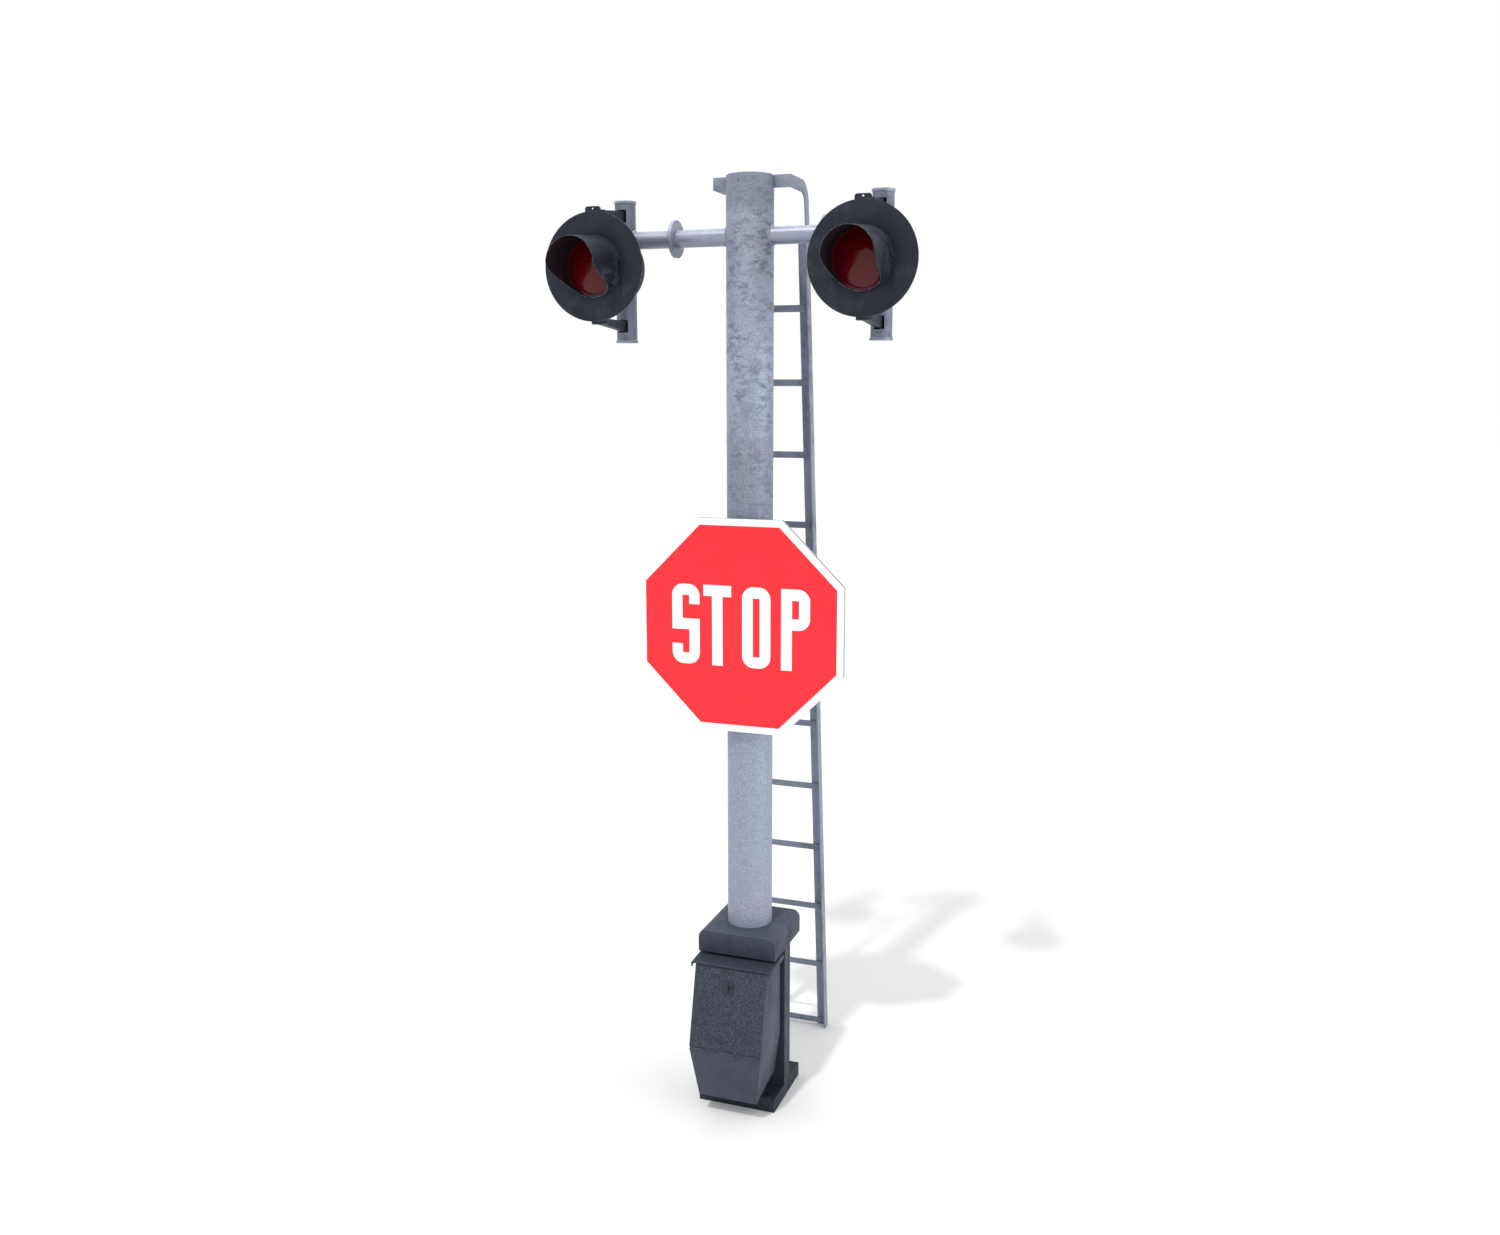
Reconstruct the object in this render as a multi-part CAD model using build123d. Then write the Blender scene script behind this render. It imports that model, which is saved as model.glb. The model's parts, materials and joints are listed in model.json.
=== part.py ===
from build123d import *
from math import atan2, cos, hypot, pi, sin
import os

# Level-crossing warning signal: a tubular pole in a two-part cast pedestal,
# a cross-arm with two red lamps, an octagonal sign, a ladder and a cabinet.
# Millimetres. Origin on the pole's axis at ground level, +Z up, front at -Y.

# Fits
RUN = 0.05                      # radial clearance of turning fits and seats
CLEAR = 0.5                     # gap between pieces that move past each other
BEYOND = 40.0                   # how far a cutting shape runs past what it cuts

# Pedestal, two cast halves that meet on the plane Y = 0
FOOT_WIDTH = 350.0
FOOT_HEIGHT = 60.0
HEAD_BOTTOM = 700.0
HEAD_HEIGHT = 99.0
HEAD_ROUND = 34.0
WEB_THICKNESS = 38.0            # each half
DUCT_R = 30.0
POLE_SEAT_DEPTH = 87.0
ANCHOR_X = 240.0                # foundation bolt pattern
ANCHOR_Y = 260.0
ANCHOR_R = 11.0
TIE_X = 102.0                   # tie bolts that hold the halves together
TIE_ROWS = 3
TIE_R = 8.0
TIE_HEAD = 24.0
TIE_HEAD_T = 10.0
TIE_END = 20.0                  # thread behind the web
TIE_NUT_T = 13.0
SEAM = 2.5                      # chamfer of each half along the seam

# Pole
POLE_D = 193.7
POLE_WALL = 5.4
SIGNAL_HEIGHT = 3950.0
POLE_CAP_T = 10.0
POLE_CAP_SPIGOT = 25.0
POLE_CAP_CHAMFER = 3.0

# Cross-arm and its collars
ARM_D = 71.0
ARM_WALL = 4.5
ARM_Z = 3713.0
COLLAR_D = 151.0
COLLAR_T = 15.0
COLLAR_X = 315.0
COLLAR_ROUND = 2.0

# Lamp posts at the ends of the cross-arm
POST_X = 550.0
POST_D = 86.0
POST_WALL = 4.0
POST_BOTTOM = 3297.0
POST_TOP = 3872.0
POST_CAP_D = 94.0
POST_CAP_T = 12.0
POST_CAP_ROUND = 3.0
POST_PLUG = 10.0
SLOT_WIDTH = 42.0
SLOT_HEIGHT = 52.0
UPPER_SLOT_Z = 3809.0
LOWER_SLOT_Z = 3365.0

# Lamps
LAMP_Z = 3586.0
DISC_FRONT = 310.0              # distance of the background's face from the arm's axis
DISC_D = 426.0
DISC_T = 4.0
SWIVEL_Y = 260.0                # distance of the aiming axis in front of the arm's axis
HOUSING_D = 300.0
HOUSING_DEPTH = 196.0
HOUSING_WALL = 4.0
HOUSING_ROUND = 50.0
BRACKET_H = 26.0                # height of the eyes
BRACKET_ROOT_H = 42.0           # height of the arms in the posts
BRACKET_W = 24.0
BRACKET_TAIL = 20.0             # how far an arm reaches behind its tie rod
BRACKET_EYE_D = 66.0
EYE_RISE = 209.0                # distance of the eyes above and below the lamp's axis
EYE_CHAMFER = 5.0
PIVOT_R = 8.0
PIN_SEAT = 11.0                 # how deep a pivot pin is pressed in its arm
TIE_ROD_R = 8.0
TIE_ROD_INSET = 4.0             # its ends below the caps' faces
TAB_WIDTH = 66.0
TAB_RISE = 19.0                 # height of the lifting tab above the background
TAB_T = 6.0
TAB_ROOT = 25.0                 # how far the tab overlaps the background
TAB_HOLE_R = 4.0
TAB_HOLE_DROP = 9.0
TAB_CORNER = 7.0
BOSS_R = 20.0
BOSS_ROOT = 2.0
BOSS_PIN = 18.0
LENS_GAP = 2.5                  # between the lens's lip and the hood
LENS_T = 5.0
LENS_BULGE = 24.0
LENS_LIP = 8.0
SEAL_T = 4.0
SEAL_LIP = 8.0
HOOD_D = 242.0
HOOD_FRONT_D = 204.0
HOOD_LENGTH = 208.0
HOOD_T = 2.5
HOOD_HEEL = 12.0                # length of the hood at its lowest line
HOOD_CUT_Z = 12.0               # height where the front edge starts to curve back
HOOD_SWEEP = 66.0               # how long the curve stays upright at both ends
REFLECTOR_D = 232.0
REFLECTOR_DEPTH = 110.0
REFLECTOR_T = 2.0
REFLECTOR_SETBACK = 12.0
BULB_R = 24.0
BULB_NECK_R = 13.0
BULB_SETBACK = 40.0
BULB_SEAT = 8.0
SOCKET_R = 17.0
SOCKET_L = 52.0
SOCKET_FLANGE = 5.0
SOCKET_FLANGE_T = 6.0
HINGE_OFFSET = 176.0
HINGE_SETBACK = 16.0
HINGE_R = 6.0
HINGE_PIN_R = 3.0
HINGE_HEAD_T = 3.0
HINGE_ROOT = 20.0               # how far its blocks reach inside the housing's wall
KNUCKLE = 30.0

# Sign
SIGN_WIDTH = 900.0
SIGN_BORDER = 30.0
SIGN_Z = 2135.0
SIGN_STANDOFF = 12.15           # least gap between the rails and the pole
SIGN_T = 3.0
SIGN_RIM = 16.0
SHEET_T = 0.5
SHEET_EDGE = 1.0
LETTER_H = 340.0
LETTER_W = 124.0
LETTER_X = (-238.0, -97.0, 75.0, 245.0)
STROKE = 47.0
LETTER_ROUND = 49.6
RAIL_Z = 250.0
RAIL_LENGTH = 620.0
RAIL_H = 40.0
RAIL_DEPTH = 20.0
RAIL_T = 3.0
UBOLT_R = 6.0
UBOLT_GAP = 4.0
UBOLT_NUT = 19.0
UBOLT_NUT_T = 9.0
SADDLE_X = 70.0
SADDLE_WRAP = 0.6               # share of the pole's radius that a saddle reaches back to

# Ladder
LADDER_WIDTH = 330.0
LADDER_FOOT_Y = 682.0
LADDER_LEAN = 0.108             # metres towards the pole for each metre up
ANGLE_LEG = 50.0
ANGLE_T = 5.0
ANGLE_TOP = 3745.0
HANGER_Y = 17.0
HANGER_T = 10.0
HOOK_BEND = 70.0
RUNG_COUNT = 12
RUNG_FIRST = 22.0
RUNG_PITCH = 311.0
RUNG_H = 29.0
RUNG_T = 6.0

# Cabinet
BOX_WIDTH = 324.0
BOX_FOOT_WIDTH = 262.0
BOX_BACK = 62.0
BOX_TOP = 680.0
BOX_BACK_TOP = 690.0
BOX_FRONT_TOP = 238.0
CREASE_Y = 324.0
CREASE_Z = 324.0
CREASE_DROP = 6.0
BOX_TOE_Y = 286.0
BOX_TOE_Z = 92.0
BOX_HEEL_Z = 140.0
SHEET = 3.0
DOOR_RETURN = 8.0
DOOR_TOP_Z = 671.0
DOOR_SEAL = 4.0
DOOR_SEAL_W = 9.0
FRAME_EDGE = 16.0
PIANO_R = 4.0
PIANO_PIN_R = 2.0
PIANO_LENGTH = 300.0
PIANO_KNUCKLES = 5
STRAP_LAP = 2.0
LID_OVERHANG = 18.0
LID_FRONT = 250.0
LID_LIP = 22.0                  # depth of the side skirts
LID_FRONT_LIP = 6.0
LID_ROUND = 8.0
LOCK_Z = 590.0
LOCK_R = 9.0
PLATE_LEFT = 29.0               # the lock plate's edges from the lock's axis
PLATE_RIGHT = 14.0
PLATE_H = 57.0
PLATE_T = 5.0
KEY_SLOT_W = 13.0
KEY_SLOT_H = 45.0
LOCK_SINK = 0.3                 # the barrel's face below the door's
LOCK_DEPTH = 14.0
KEYWAY_W = 2.0
KEYWAY_H = 10.0
KEYWAY_DEPTH = 5.0
CAM_W = 16.0
CAM_T = 4.0
CAM_TAIL = 8.0
CAM_REACH = 34.0
GLAND_R = 15.0
GLAND_WALL = 4.0
GLAND_NUT = 38.0
GLAND_NUT_T = 12.0
GLAND_Z = 470.0
FIX_X = 60.0
FIX_Z = (250.0, 610.0)
FIX_R = 6.0
FIX_HEAD = 18.0
FIX_HEAD_T = 8.0
SPACER_WALL = 5.0
RAIL35_Z = 397.5                # the terminals' top-hat rail
RAIL35_H = 35.0
RAIL35_LIP = 8.0
RAIL35_DEPTH = 12.0
RAIL35_T = 2.0
RAIL35_MARGIN = 40.0
TERMINALS = 10
TERMINAL_PITCH = 20.0
TERMINAL_W = 18.0
TERMINAL_H = 51.0
TERMINAL_DEPTH = 34.0
SCREW_Z = 13.5
SCREW_R = 3.5
SCREW_DEPTH = 14.0

POLE_R = POLE_D / 2
LENS_D = HOOD_D - 2 * (HOOD_T + LENS_LIP + LENS_GAP)
SIGN_FRONT = POLE_R + SIGN_STANDOFF + RAIL_DEPTH + SIGN_T + 2 * SHEET_T
UPPER_BRACKET_Z = LAMP_Z + EYE_RISE
LOWER_BRACKET_Z = LAMP_Z - EYE_RISE
UBOLT_X = POLE_R + UBOLT_R + UBOLT_GAP
HEAD_TOP = HEAD_BOTTOM + HEAD_HEIGHT
HALF = FOOT_WIDTH / 2
WEB_HEIGHT = HEAD_BOTTOM - FOOT_HEIGHT
TIE_Z = [FOOT_HEIGHT + WEB_HEIGHT * (i + 1) / (TIE_ROWS + 1) for i in range(TIE_ROWS)]


def block(x0, x1, y0, y1, z0, z1):
    """A box between two corners."""
    middle = Pos((x0 + x1) / 2, (y0 + y1) / 2, (z0 + z1) / 2)
    return middle * Box(x1 - x0, y1 - y0, z1 - z0)


def rod(radius, start, end):
    """A round bar between two points."""
    start, end = Vector(*start), Vector(*end)
    plane = Plane(start, z_dir=end - start)
    return extrude(plane * Circle(radius), (end - start).length)


def hexagon(across_flats, start, end):
    """A hexagonal bar between two points."""
    start, end = Vector(*start), Vector(*end)
    plane = Plane(start, z_dir=end - start)
    shape = RegularPolygon(across_flats / 2, 6, major_radius=False)
    return extrude(plane * shape, (end - start).length)


def side_prism(points, half_width):
    """A side outline of (Y, Z) points made solid across X."""
    face = make_face(Plane.YZ * Polyline(*points, close=True))
    return extrude(face, half_width, both=True)


def front_prism(points, y0, y1):
    """A front outline of (X, Z) points made solid from y0 to y1."""
    face = make_face(Plane.XZ.offset(-y0) * Polyline(*points, close=True))
    return extrude(face, y0 - y1)


def turned(points, x):
    """A lamp part turned about the lamp's axis from (radius, Y) points."""
    face = make_face(Polyline(*points, close=True))
    return Pos(x, 0, LAMP_Z) * revolve(face, Axis.Y, 360)


def merge(first, *others):
    """One solid of several pieces."""
    for other in others:
        first = first + other
    return first


# ---------------------------------------------------------------- pedestal

def tie_places():
    return [(side * TIE_X, z) for side in (-1, 1) for z in TIE_Z]


def pedestal_half(front):
    """One cast half; front is -1 for the front half and +1 for the rear."""
    foot = block(-HALF, HALF, min(0, front * HALF), max(0, front * HALF), 0, FOOT_HEIGHT)
    y_web = front * WEB_THICKNESS
    web = block(-HALF, HALF, min(0, y_web), max(0, y_web), FOOT_HEIGHT, HEAD_BOTTOM)
    outline = Pos(0, HEAD_BOTTOM + HEAD_HEIGHT / 2) * Rectangle(FOOT_WIDTH, HEAD_HEIGHT)
    outline = fillet(outline.vertices().group_by(Axis.Y)[-1], HEAD_ROUND)
    head = extrude(Plane.XZ * outline, -front * HALF)
    half = merge(foot, web, head)
    seam = half.faces().filter_by(Axis.Y).sort_by(Axis.Y)[min(0, -front)]
    half = chamfer(seam.edges().filter_by(lambda edge: edge.center().Z > 0), SEAM)
    half -= rod(DUCT_R, (0, 0, -1), (0, 0, HEAD_TOP))
    half -= rod(POLE_R + RUN, (0, 0, HEAD_TOP - POLE_SEAT_DEPTH), (0, 0, HEAD_TOP + 1))
    for x, z in tie_places():
        half -= rod(TIE_R + CLEAR, (x, -HALF, z), (x, HALF, z))
    for x in (-ANCHOR_X / 2, ANCHOR_X / 2):
        y = front * ANCHOR_Y / 2
        half -= rod(ANCHOR_R, (x, y, -1), (x, y, FOOT_HEIGHT + 1))
    if front < 0:
        half -= rod(GLAND_R + RUN, (0, -HALF, GLAND_Z), (0, 0, GLAND_Z))
    return half


def tie_bolts():
    bolts = []
    for x, z in tie_places():
        shank = rod(TIE_R, (x, -WEB_THICKNESS, z), (x, WEB_THICKNESS + TIE_END, z))
        head = hexagon(TIE_HEAD, (x, -WEB_THICKNESS - TIE_HEAD_T, z), (x, -WEB_THICKNESS, z))
        bolts.append(shank + head)
    return Compound(children=bolts)


def tie_nuts():
    nuts = []
    for x, z in tie_places():
        nut = hexagon(TIE_HEAD, (x, WEB_THICKNESS, z), (x, WEB_THICKNESS + TIE_NUT_T, z))
        nuts.append(nut - rod(TIE_R + RUN, (x, 0, z), (x, HALF, z)))
    return Compound(children=nuts)


# -------------------------------------------------------------------- pole

def pole():
    bottom = HEAD_TOP - POLE_SEAT_DEPTH
    top = SIGNAL_HEIGHT - POLE_CAP_T
    tube = rod(POLE_R, (0, 0, bottom), (0, 0, top))
    tube -= rod(POLE_R - POLE_WALL, (0, 0, bottom - 1), (0, 0, top + 1))
    return tube - rod(ARM_D / 2 + RUN, (-POLE_D, 0, ARM_Z), (POLE_D, 0, ARM_Z))


def pole_cap():
    bottom = SIGNAL_HEIGHT - POLE_CAP_T
    disc = rod(POLE_R, (0, 0, bottom), (0, 0, SIGNAL_HEIGHT))
    disc = chamfer(disc.edges().group_by(Axis.Z)[-1], POLE_CAP_CHAMFER)
    spigot = rod(POLE_R - POLE_WALL - RUN, (0, 0, bottom - POLE_CAP_SPIGOT), (0, 0, bottom))
    spigot -= rod(POLE_R - 2 * POLE_WALL, (0, 0, bottom - POLE_CAP_SPIGOT), (0, 0, bottom))
    return disc + spigot


# --------------------------------------------------------------- cross-arm

def crossarm():
    """A tube through the pole, cut to a saddle where it meets each lamp post."""
    ends = ((-POST_X, 0, ARM_Z), (POST_X, 0, ARM_Z))
    tube = rod(ARM_D / 2, *ends) - rod(ARM_D / 2 - ARM_WALL, *ends)
    for x in (-POST_X, POST_X):
        tube -= rod(POST_D / 2, (x, 0, POST_BOTTOM), (x, 0, POST_TOP))
    return tube


def collar(side):
    start = side * COLLAR_X
    end = side * (COLLAR_X + COLLAR_T)
    ring = rod(COLLAR_D / 2, (start, 0, ARM_Z), (end, 0, ARM_Z))
    ring = fillet(ring.edges().filter_by(GeomType.CIRCLE), COLLAR_ROUND)
    return ring - rod(ARM_D / 2 + RUN, (-POST_X, 0, ARM_Z), (POST_X, 0, ARM_Z))


# -------------------------------------------------------------- lamp posts

def lamp_post(side):
    x = side * POST_X
    bottom = POST_BOTTOM + POST_CAP_T
    top = POST_TOP - POST_CAP_T
    tube = rod(POST_D / 2, (x, 0, bottom), (x, 0, top))
    tube -= rod(POST_D / 2 - POST_WALL, (x, 0, bottom - 1), (x, 0, top + 1))
    for z in (UPPER_SLOT_Z, LOWER_SLOT_Z):
        half_w, half_h = SLOT_WIDTH / 2, SLOT_HEIGHT / 2
        tube -= block(x - half_w, x + half_w, -POST_D, -POST_D / 4, z - half_h, z + half_h)
    return tube


def lamp_post_caps():
    """Turned discs that close both ends of both posts, bored for the tie rods."""
    caps = []
    for x in (-POST_X, POST_X):
        for z, inward in ((POST_TOP, -1), (POST_BOTTOM, 1)):
            inner = z + inward * POST_CAP_T
            disc = rod(POST_CAP_D / 2, (x, 0, z), (x, 0, inner))
            disc = fillet(disc.edges().filter_by(GeomType.CIRCLE), POST_CAP_ROUND)
            end = inner + inward * POST_PLUG
            plug = rod(POST_D / 2 - POST_WALL - RUN, (x, 0, inner), (x, 0, end))
            caps.append(disc + plug - tie_rod(x, TIE_ROD_R + RUN))
    return Compound(children=caps)


def tie_rod(x, radius):
    return rod(radius, (x, 0, POST_BOTTOM + TIE_ROD_INSET), (x, 0, POST_TOP - TIE_ROD_INSET))


def lamp_tie_rods():
    """Threaded rods inside the posts that hold the bracket arms."""
    return Compound(children=[tie_rod(x, TIE_ROD_R) for x in (-POST_X, POST_X)])


def lamp_brackets(side):
    """Upper and lower arm, deepest in the post's slots, out to the lamp's aiming axis."""
    x = side * POST_X
    arms = []
    for z, slot_z, inward in ((UPPER_BRACKET_Z, UPPER_SLOT_Z, -1), (LOWER_BRACKET_Z, LOWER_SLOT_Z, 1)):
        z0, z1 = z - BRACKET_H / 2, z + BRACKET_H / 2
        root0, root1 = slot_z - BRACKET_ROOT_H / 2, slot_z + BRACKET_ROOT_H / 2
        y_root = -POST_D / 2 - CLEAR
        outline = [(BRACKET_TAIL, root0), (BRACKET_TAIL, root1), (y_root, root1),
                   (-SWIVEL_Y, z1), (-SWIVEL_Y, z0), (y_root, root0)]
        eye = rod(BRACKET_EYE_D / 2, (x, -SWIVEL_Y, z0), (x, -SWIVEL_Y, z1))
        eye = chamfer(eye.edges().group_by(Axis.Z)[min(0, -inward)], EYE_CHAMFER)
        arm = shift(side_prism(outline, BRACKET_W / 2), x) + eye
        arm -= rod(TIE_ROD_R + RUN, (x, 0, root0 - 1), (x, 0, root1 + 1))
        face = z + inward * BRACKET_H / 2
        arm -= rod(PIVOT_R + RUN, (x, -SWIVEL_Y, face - inward * PIN_SEAT), (x, -SWIVEL_Y, face + inward))
        arms.append(arm)
    return Compound(children=arms)


def pivot_bolts():
    """Stub pins pressed in the arms' eyes, on which the lamps are aimed."""
    pins = []
    for x in (-POST_X, POST_X):
        for z, inward in ((UPPER_BRACKET_Z, -1), (LOWER_BRACKET_Z, 1)):
            face = z + inward * BRACKET_H / 2
            start, end = face - inward * PIN_SEAT, face + inward * BOSS_PIN
            pins.append(rod(PIVOT_R, (x, -SWIVEL_Y, start), (x, -SWIVEL_Y, end)))
    return Compound(children=pins)


# ------------------------------------------------------------------- lamps

HOUSING_FRONT = -DISC_FRONT + DISC_T + SEAL_T
HOUSING_BACK = HOUSING_FRONT + HOUSING_DEPTH
LENS_Y = -DISC_FRONT + DISC_T


def housing_outline(radius, back, rounding):
    """Half section of a can with a rounded back, open to the front."""
    steps = [i * pi / 16 for i in range(9)]
    corner = [(radius - rounding + rounding * cos(a), back - rounding + rounding * sin(a))
              for a in steps]
    return [(0, HOUSING_FRONT), (radius, HOUSING_FRONT)] + corner + [(0, back)]


def lamp_housing(side):
    x = side * POST_X
    r = HOUSING_D / 2
    can = turned(housing_outline(r, HOUSING_BACK, HOUSING_ROUND), x)
    for z0, z1 in boss_spans():
        can += rod(BOSS_R, (x, -SWIVEL_Y, z0), (x, -SWIVEL_Y, z1))
    y = -DISC_FRONT + HINGE_SETBACK
    hinge_x = x + side * HINGE_OFFSET
    for end in (-1, 1):
        z0, z1 = sorted((LAMP_Z + end * (KNUCKLE / 2 + CLEAR), LAMP_Z + end * KNUCKLE * 1.5))
        x0, x1 = sorted((hinge_x, x + side * (r - HINGE_ROOT)))
        can += block(x0, x1, y - 1, y + HINGE_R, z0, z1)
        can += rod(HINGE_R, (hinge_x, y, z0), (hinge_x, y, z1))
    inner = housing_outline(r - HOUSING_WALL, HOUSING_BACK - HOUSING_WALL, HOUSING_ROUND - HOUSING_WALL)
    inner[0] = (0, HOUSING_FRONT - 1)
    inner[1] = (r - HOUSING_WALL, HOUSING_FRONT - 1)
    can -= turned(inner, x)
    for z0, z1 in boss_spans():
        far = z1 if z0 > LAMP_Z else z0
        near = far - BOSS_PIN - CLEAR if z0 > LAMP_Z else far + BOSS_PIN + CLEAR
        can -= rod(PIVOT_R + RUN, (x, -SWIVEL_Y, near), (x, -SWIVEL_Y, far))
    span = KNUCKLE * 1.5 + 1
    can -= rod(HINGE_PIN_R + RUN, (hinge_x, y, LAMP_Z - span), (hinge_x, y, LAMP_Z + span))
    can -= rod(SOCKET_R, (x, HOUSING_BACK - SOCKET_L, LAMP_Z), (x, HOUSING_BACK + 1, LAMP_Z))
    return can


def boss_spans():
    """Z ranges of the lower and upper pivot bosses."""
    wall = HOUSING_D / 2 - HOUSING_WALL - BOSS_ROOT
    upper = (LAMP_Z + wall, UPPER_BRACKET_Z - BRACKET_H / 2 - CLEAR)
    lower = (LOWER_BRACKET_Z + BRACKET_H / 2 + CLEAR, LAMP_Z - wall)
    return [lower, upper]


def background(side):
    """The round black background, which is also the lamp's hinged front."""
    x = side * POST_X
    front, back = -DISC_FRONT, -DISC_FRONT + DISC_T
    hole = HOOD_D / 2
    disc = turned([(hole, front), (DISC_D / 2, front), (DISC_D / 2, back), (hole, back)], x)
    tab_top = LAMP_Z + DISC_D / 2 + TAB_RISE
    half, base = TAB_WIDTH / 2, LAMP_Z + DISC_D / 2 - TAB_ROOT
    narrow, shoulder = half - TAB_CORNER, tab_top - TAB_CORNER
    tab = front_prism([(x - half, base), (x + half, base), (x + half, shoulder), (x + narrow, tab_top),
                       (x - narrow, tab_top), (x - half, shoulder)], back, back + TAB_T)
    hole_z = tab_top - TAB_HOLE_DROP
    tab -= rod(TAB_HOLE_R, (x, back - 1, hole_z), (x, back + TAB_T + 1, hole_z))
    hinge_x, y = x + side * HINGE_OFFSET, -DISC_FRONT + HINGE_SETBACK
    z0, z1 = LAMP_Z - KNUCKLE / 2, LAMP_Z + KNUCKLE / 2
    knuckle = rod(HINGE_R, (hinge_x, y, z0), (hinge_x, y, z1))
    knuckle += block(hinge_x - HINGE_R, hinge_x + HINGE_R, back, y, z0, z1)
    knuckle -= rod(HINGE_PIN_R + RUN, (hinge_x, y, z0 - 1), (hinge_x, y, z1 + 1))
    return merge(disc, tab, knuckle)


def hood(side):
    """A tapering tube whose front edge curves back to a short heel at the bottom."""
    x = side * POST_X
    front, root = -DISC_FRONT - HOOD_LENGTH, -DISC_FRONT + DISC_T
    r0, r1 = HOOD_D / 2, HOOD_FRONT_D / 2
    tube = turned([(r0 - HOOD_T, root), (r0, root), (r0, root - DISC_T), (r1, front), (r1 - HOOD_T, front),
                   (r0 - HOOD_T, root - DISC_T)], x)
    start, heel = LAMP_Z + HOOD_CUT_Z, -DISC_FRONT - HOOD_HEEL
    low, below = LAMP_Z - r0, LAMP_Z - r0 - HOOD_D
    edge = Bezier((front, start), (front, start - HOOD_SWEEP), (heel, low + HOOD_SWEEP), (heel, low))
    rest = Polyline((heel, low), (heel, below), (front - 1, below), (front - 1, start), (front, start))
    outline = Plane.YZ * make_face(edge.edges() + rest.edges())
    return tube - extrude(outline, POST_X + HOOD_D, both=True)


def lens(side):
    """A domed red glass with a flat lip."""
    r = LENS_D / 2
    radius = (r * r + LENS_BULGE ** 2) / (2 * LENS_BULGE)
    steps = 8
    swing = atan2(r, radius - LENS_BULGE)
    outer = [(radius * sin(swing * i / steps), LENS_Y - LENS_BULGE + radius * (1 - cos(swing * i / steps)))
             for i in range(steps + 1)]
    inner = [(px * (1 - LENS_T / r), py + LENS_T) for px, py in reversed(outer)]
    lip = [(r + LENS_LIP, LENS_Y), (r + LENS_LIP, LENS_Y + LENS_T)]
    return turned(outer[:-1] + [(r, LENS_Y)] + lip + inner, x=side * POST_X)


def lens_seal(side):
    """A rubber ring that holds the lens in the hood's root."""
    inner, outer = LENS_D / 2 + LENS_LIP, HOOD_D / 2 + SEAL_LIP
    y = -DISC_FRONT + DISC_T
    return turned([(inner, y), (outer, y), (outer, y + LENS_T), (inner, y + LENS_T)], side * POST_X)


def reflector(side):
    """A spun parabolic dish behind the lens."""
    r = REFLECTOR_D / 2
    front = HOUSING_FRONT + REFLECTOR_SETBACK
    back = front + REFLECTOR_DEPTH
    steps = 10
    inner_r = SOCKET_R + 2 * CLEAR
    rim = [inner_r + (r - inner_r) * i / steps for i in range(steps + 1)]
    depth = REFLECTOR_DEPTH / (r * r - inner_r * inner_r)
    dish = [(q, back - depth * (q * q - inner_r * inner_r)) for q in rim]
    outside = [(q, y + REFLECTOR_T) for q, y in reversed(dish)]
    wall = HOUSING_D / 2 - HOUSING_WALL
    flange = [(wall, front), (wall, front + REFLECTOR_T)]
    return turned(dish + flange + outside, side * POST_X)


def bulb(side):
    x = side * POST_X
    tip = HOUSING_FRONT + BULB_SETBACK
    glass = Pos(x, tip + BULB_R, LAMP_Z) * Sphere(BULB_R)
    seat = HOUSING_BACK - SOCKET_L + BULB_SEAT
    neck = rod(BULB_NECK_R, (x, tip + BULB_R, LAMP_Z), (x, seat, LAMP_Z))
    return glass + neck


def bulb_socket(side):
    x = side * POST_X
    start, end = HOUSING_BACK - SOCKET_L, HOUSING_BACK + SOCKET_FLANGE_T
    body = rod(SOCKET_R - RUN, (x, start, LAMP_Z), (x, end, LAMP_Z))
    body += rod(SOCKET_R + SOCKET_FLANGE, (x, HOUSING_BACK, LAMP_Z), (x, end, LAMP_Z))
    return body - rod(BULB_NECK_R, (x, start - 1, LAMP_Z), (x, start + BULB_SEAT, LAMP_Z))


def lamp_hinge_pin(side):
    x = side * (POST_X + HINGE_OFFSET)
    y = -DISC_FRONT + HINGE_SETBACK
    half = KNUCKLE * 1.5
    pin = rod(HINGE_PIN_R, (x, y, LAMP_Z - half), (x, y, LAMP_Z + half))
    return pin + rod(HINGE_R, (x, y, LAMP_Z + half), (x, y, LAMP_Z + half + HINGE_HEAD_T))


# -------------------------------------------------------------------- sign

def octagon(width, y_front, thickness):
    outline = Pos(0, SIGN_Z) * RegularPolygon(width / 2, 8, major_radius=False, rotation=22.5)
    return extrude(Plane.XZ.offset(-y_front) * outline, -thickness)


def sign_plate():
    """Pressed plate with a folded rim."""
    front = -SIGN_FRONT + 2 * SHEET_T
    solid = octagon(SIGN_WIDTH, front, SIGN_RIM)
    return solid - octagon(SIGN_WIDTH - 2 * SIGN_T, front + SIGN_T, SIGN_RIM)


def sign_white_sheet():
    return octagon(SIGN_WIDTH - 2 * SHEET_EDGE, -SIGN_FRONT + SHEET_T, SHEET_T)


def sign_red_sheet():
    return octagon(SIGN_WIDTH - 2 * SIGN_BORDER, -SIGN_FRONT, SHEET_T)


def bar(x0, x1, z0, z1):
    """A rectangle of the legend."""
    return Pos((x0 + x1) / 2, (z0 + z1) / 2) * Rectangle(x1 - x0, z1 - z0)


def letter_s():
    half, top, mid = LETTER_W / 2, LETTER_H / 2, STROKE / 2
    face = bar(-half, half, -top, top)
    face = fillet(face.vertices(), LETTER_ROUND)
    face -= bar(-half + STROKE, half - STROKE, mid, top - STROKE)
    face -= bar(-half + STROKE, half - STROKE, -top + STROKE, -mid)
    face -= bar(half - STROKE - 1, half + 1, mid, top / 2)
    return face - bar(-half - 1, -half + STROKE + 1, -top / 2, -mid)


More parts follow.
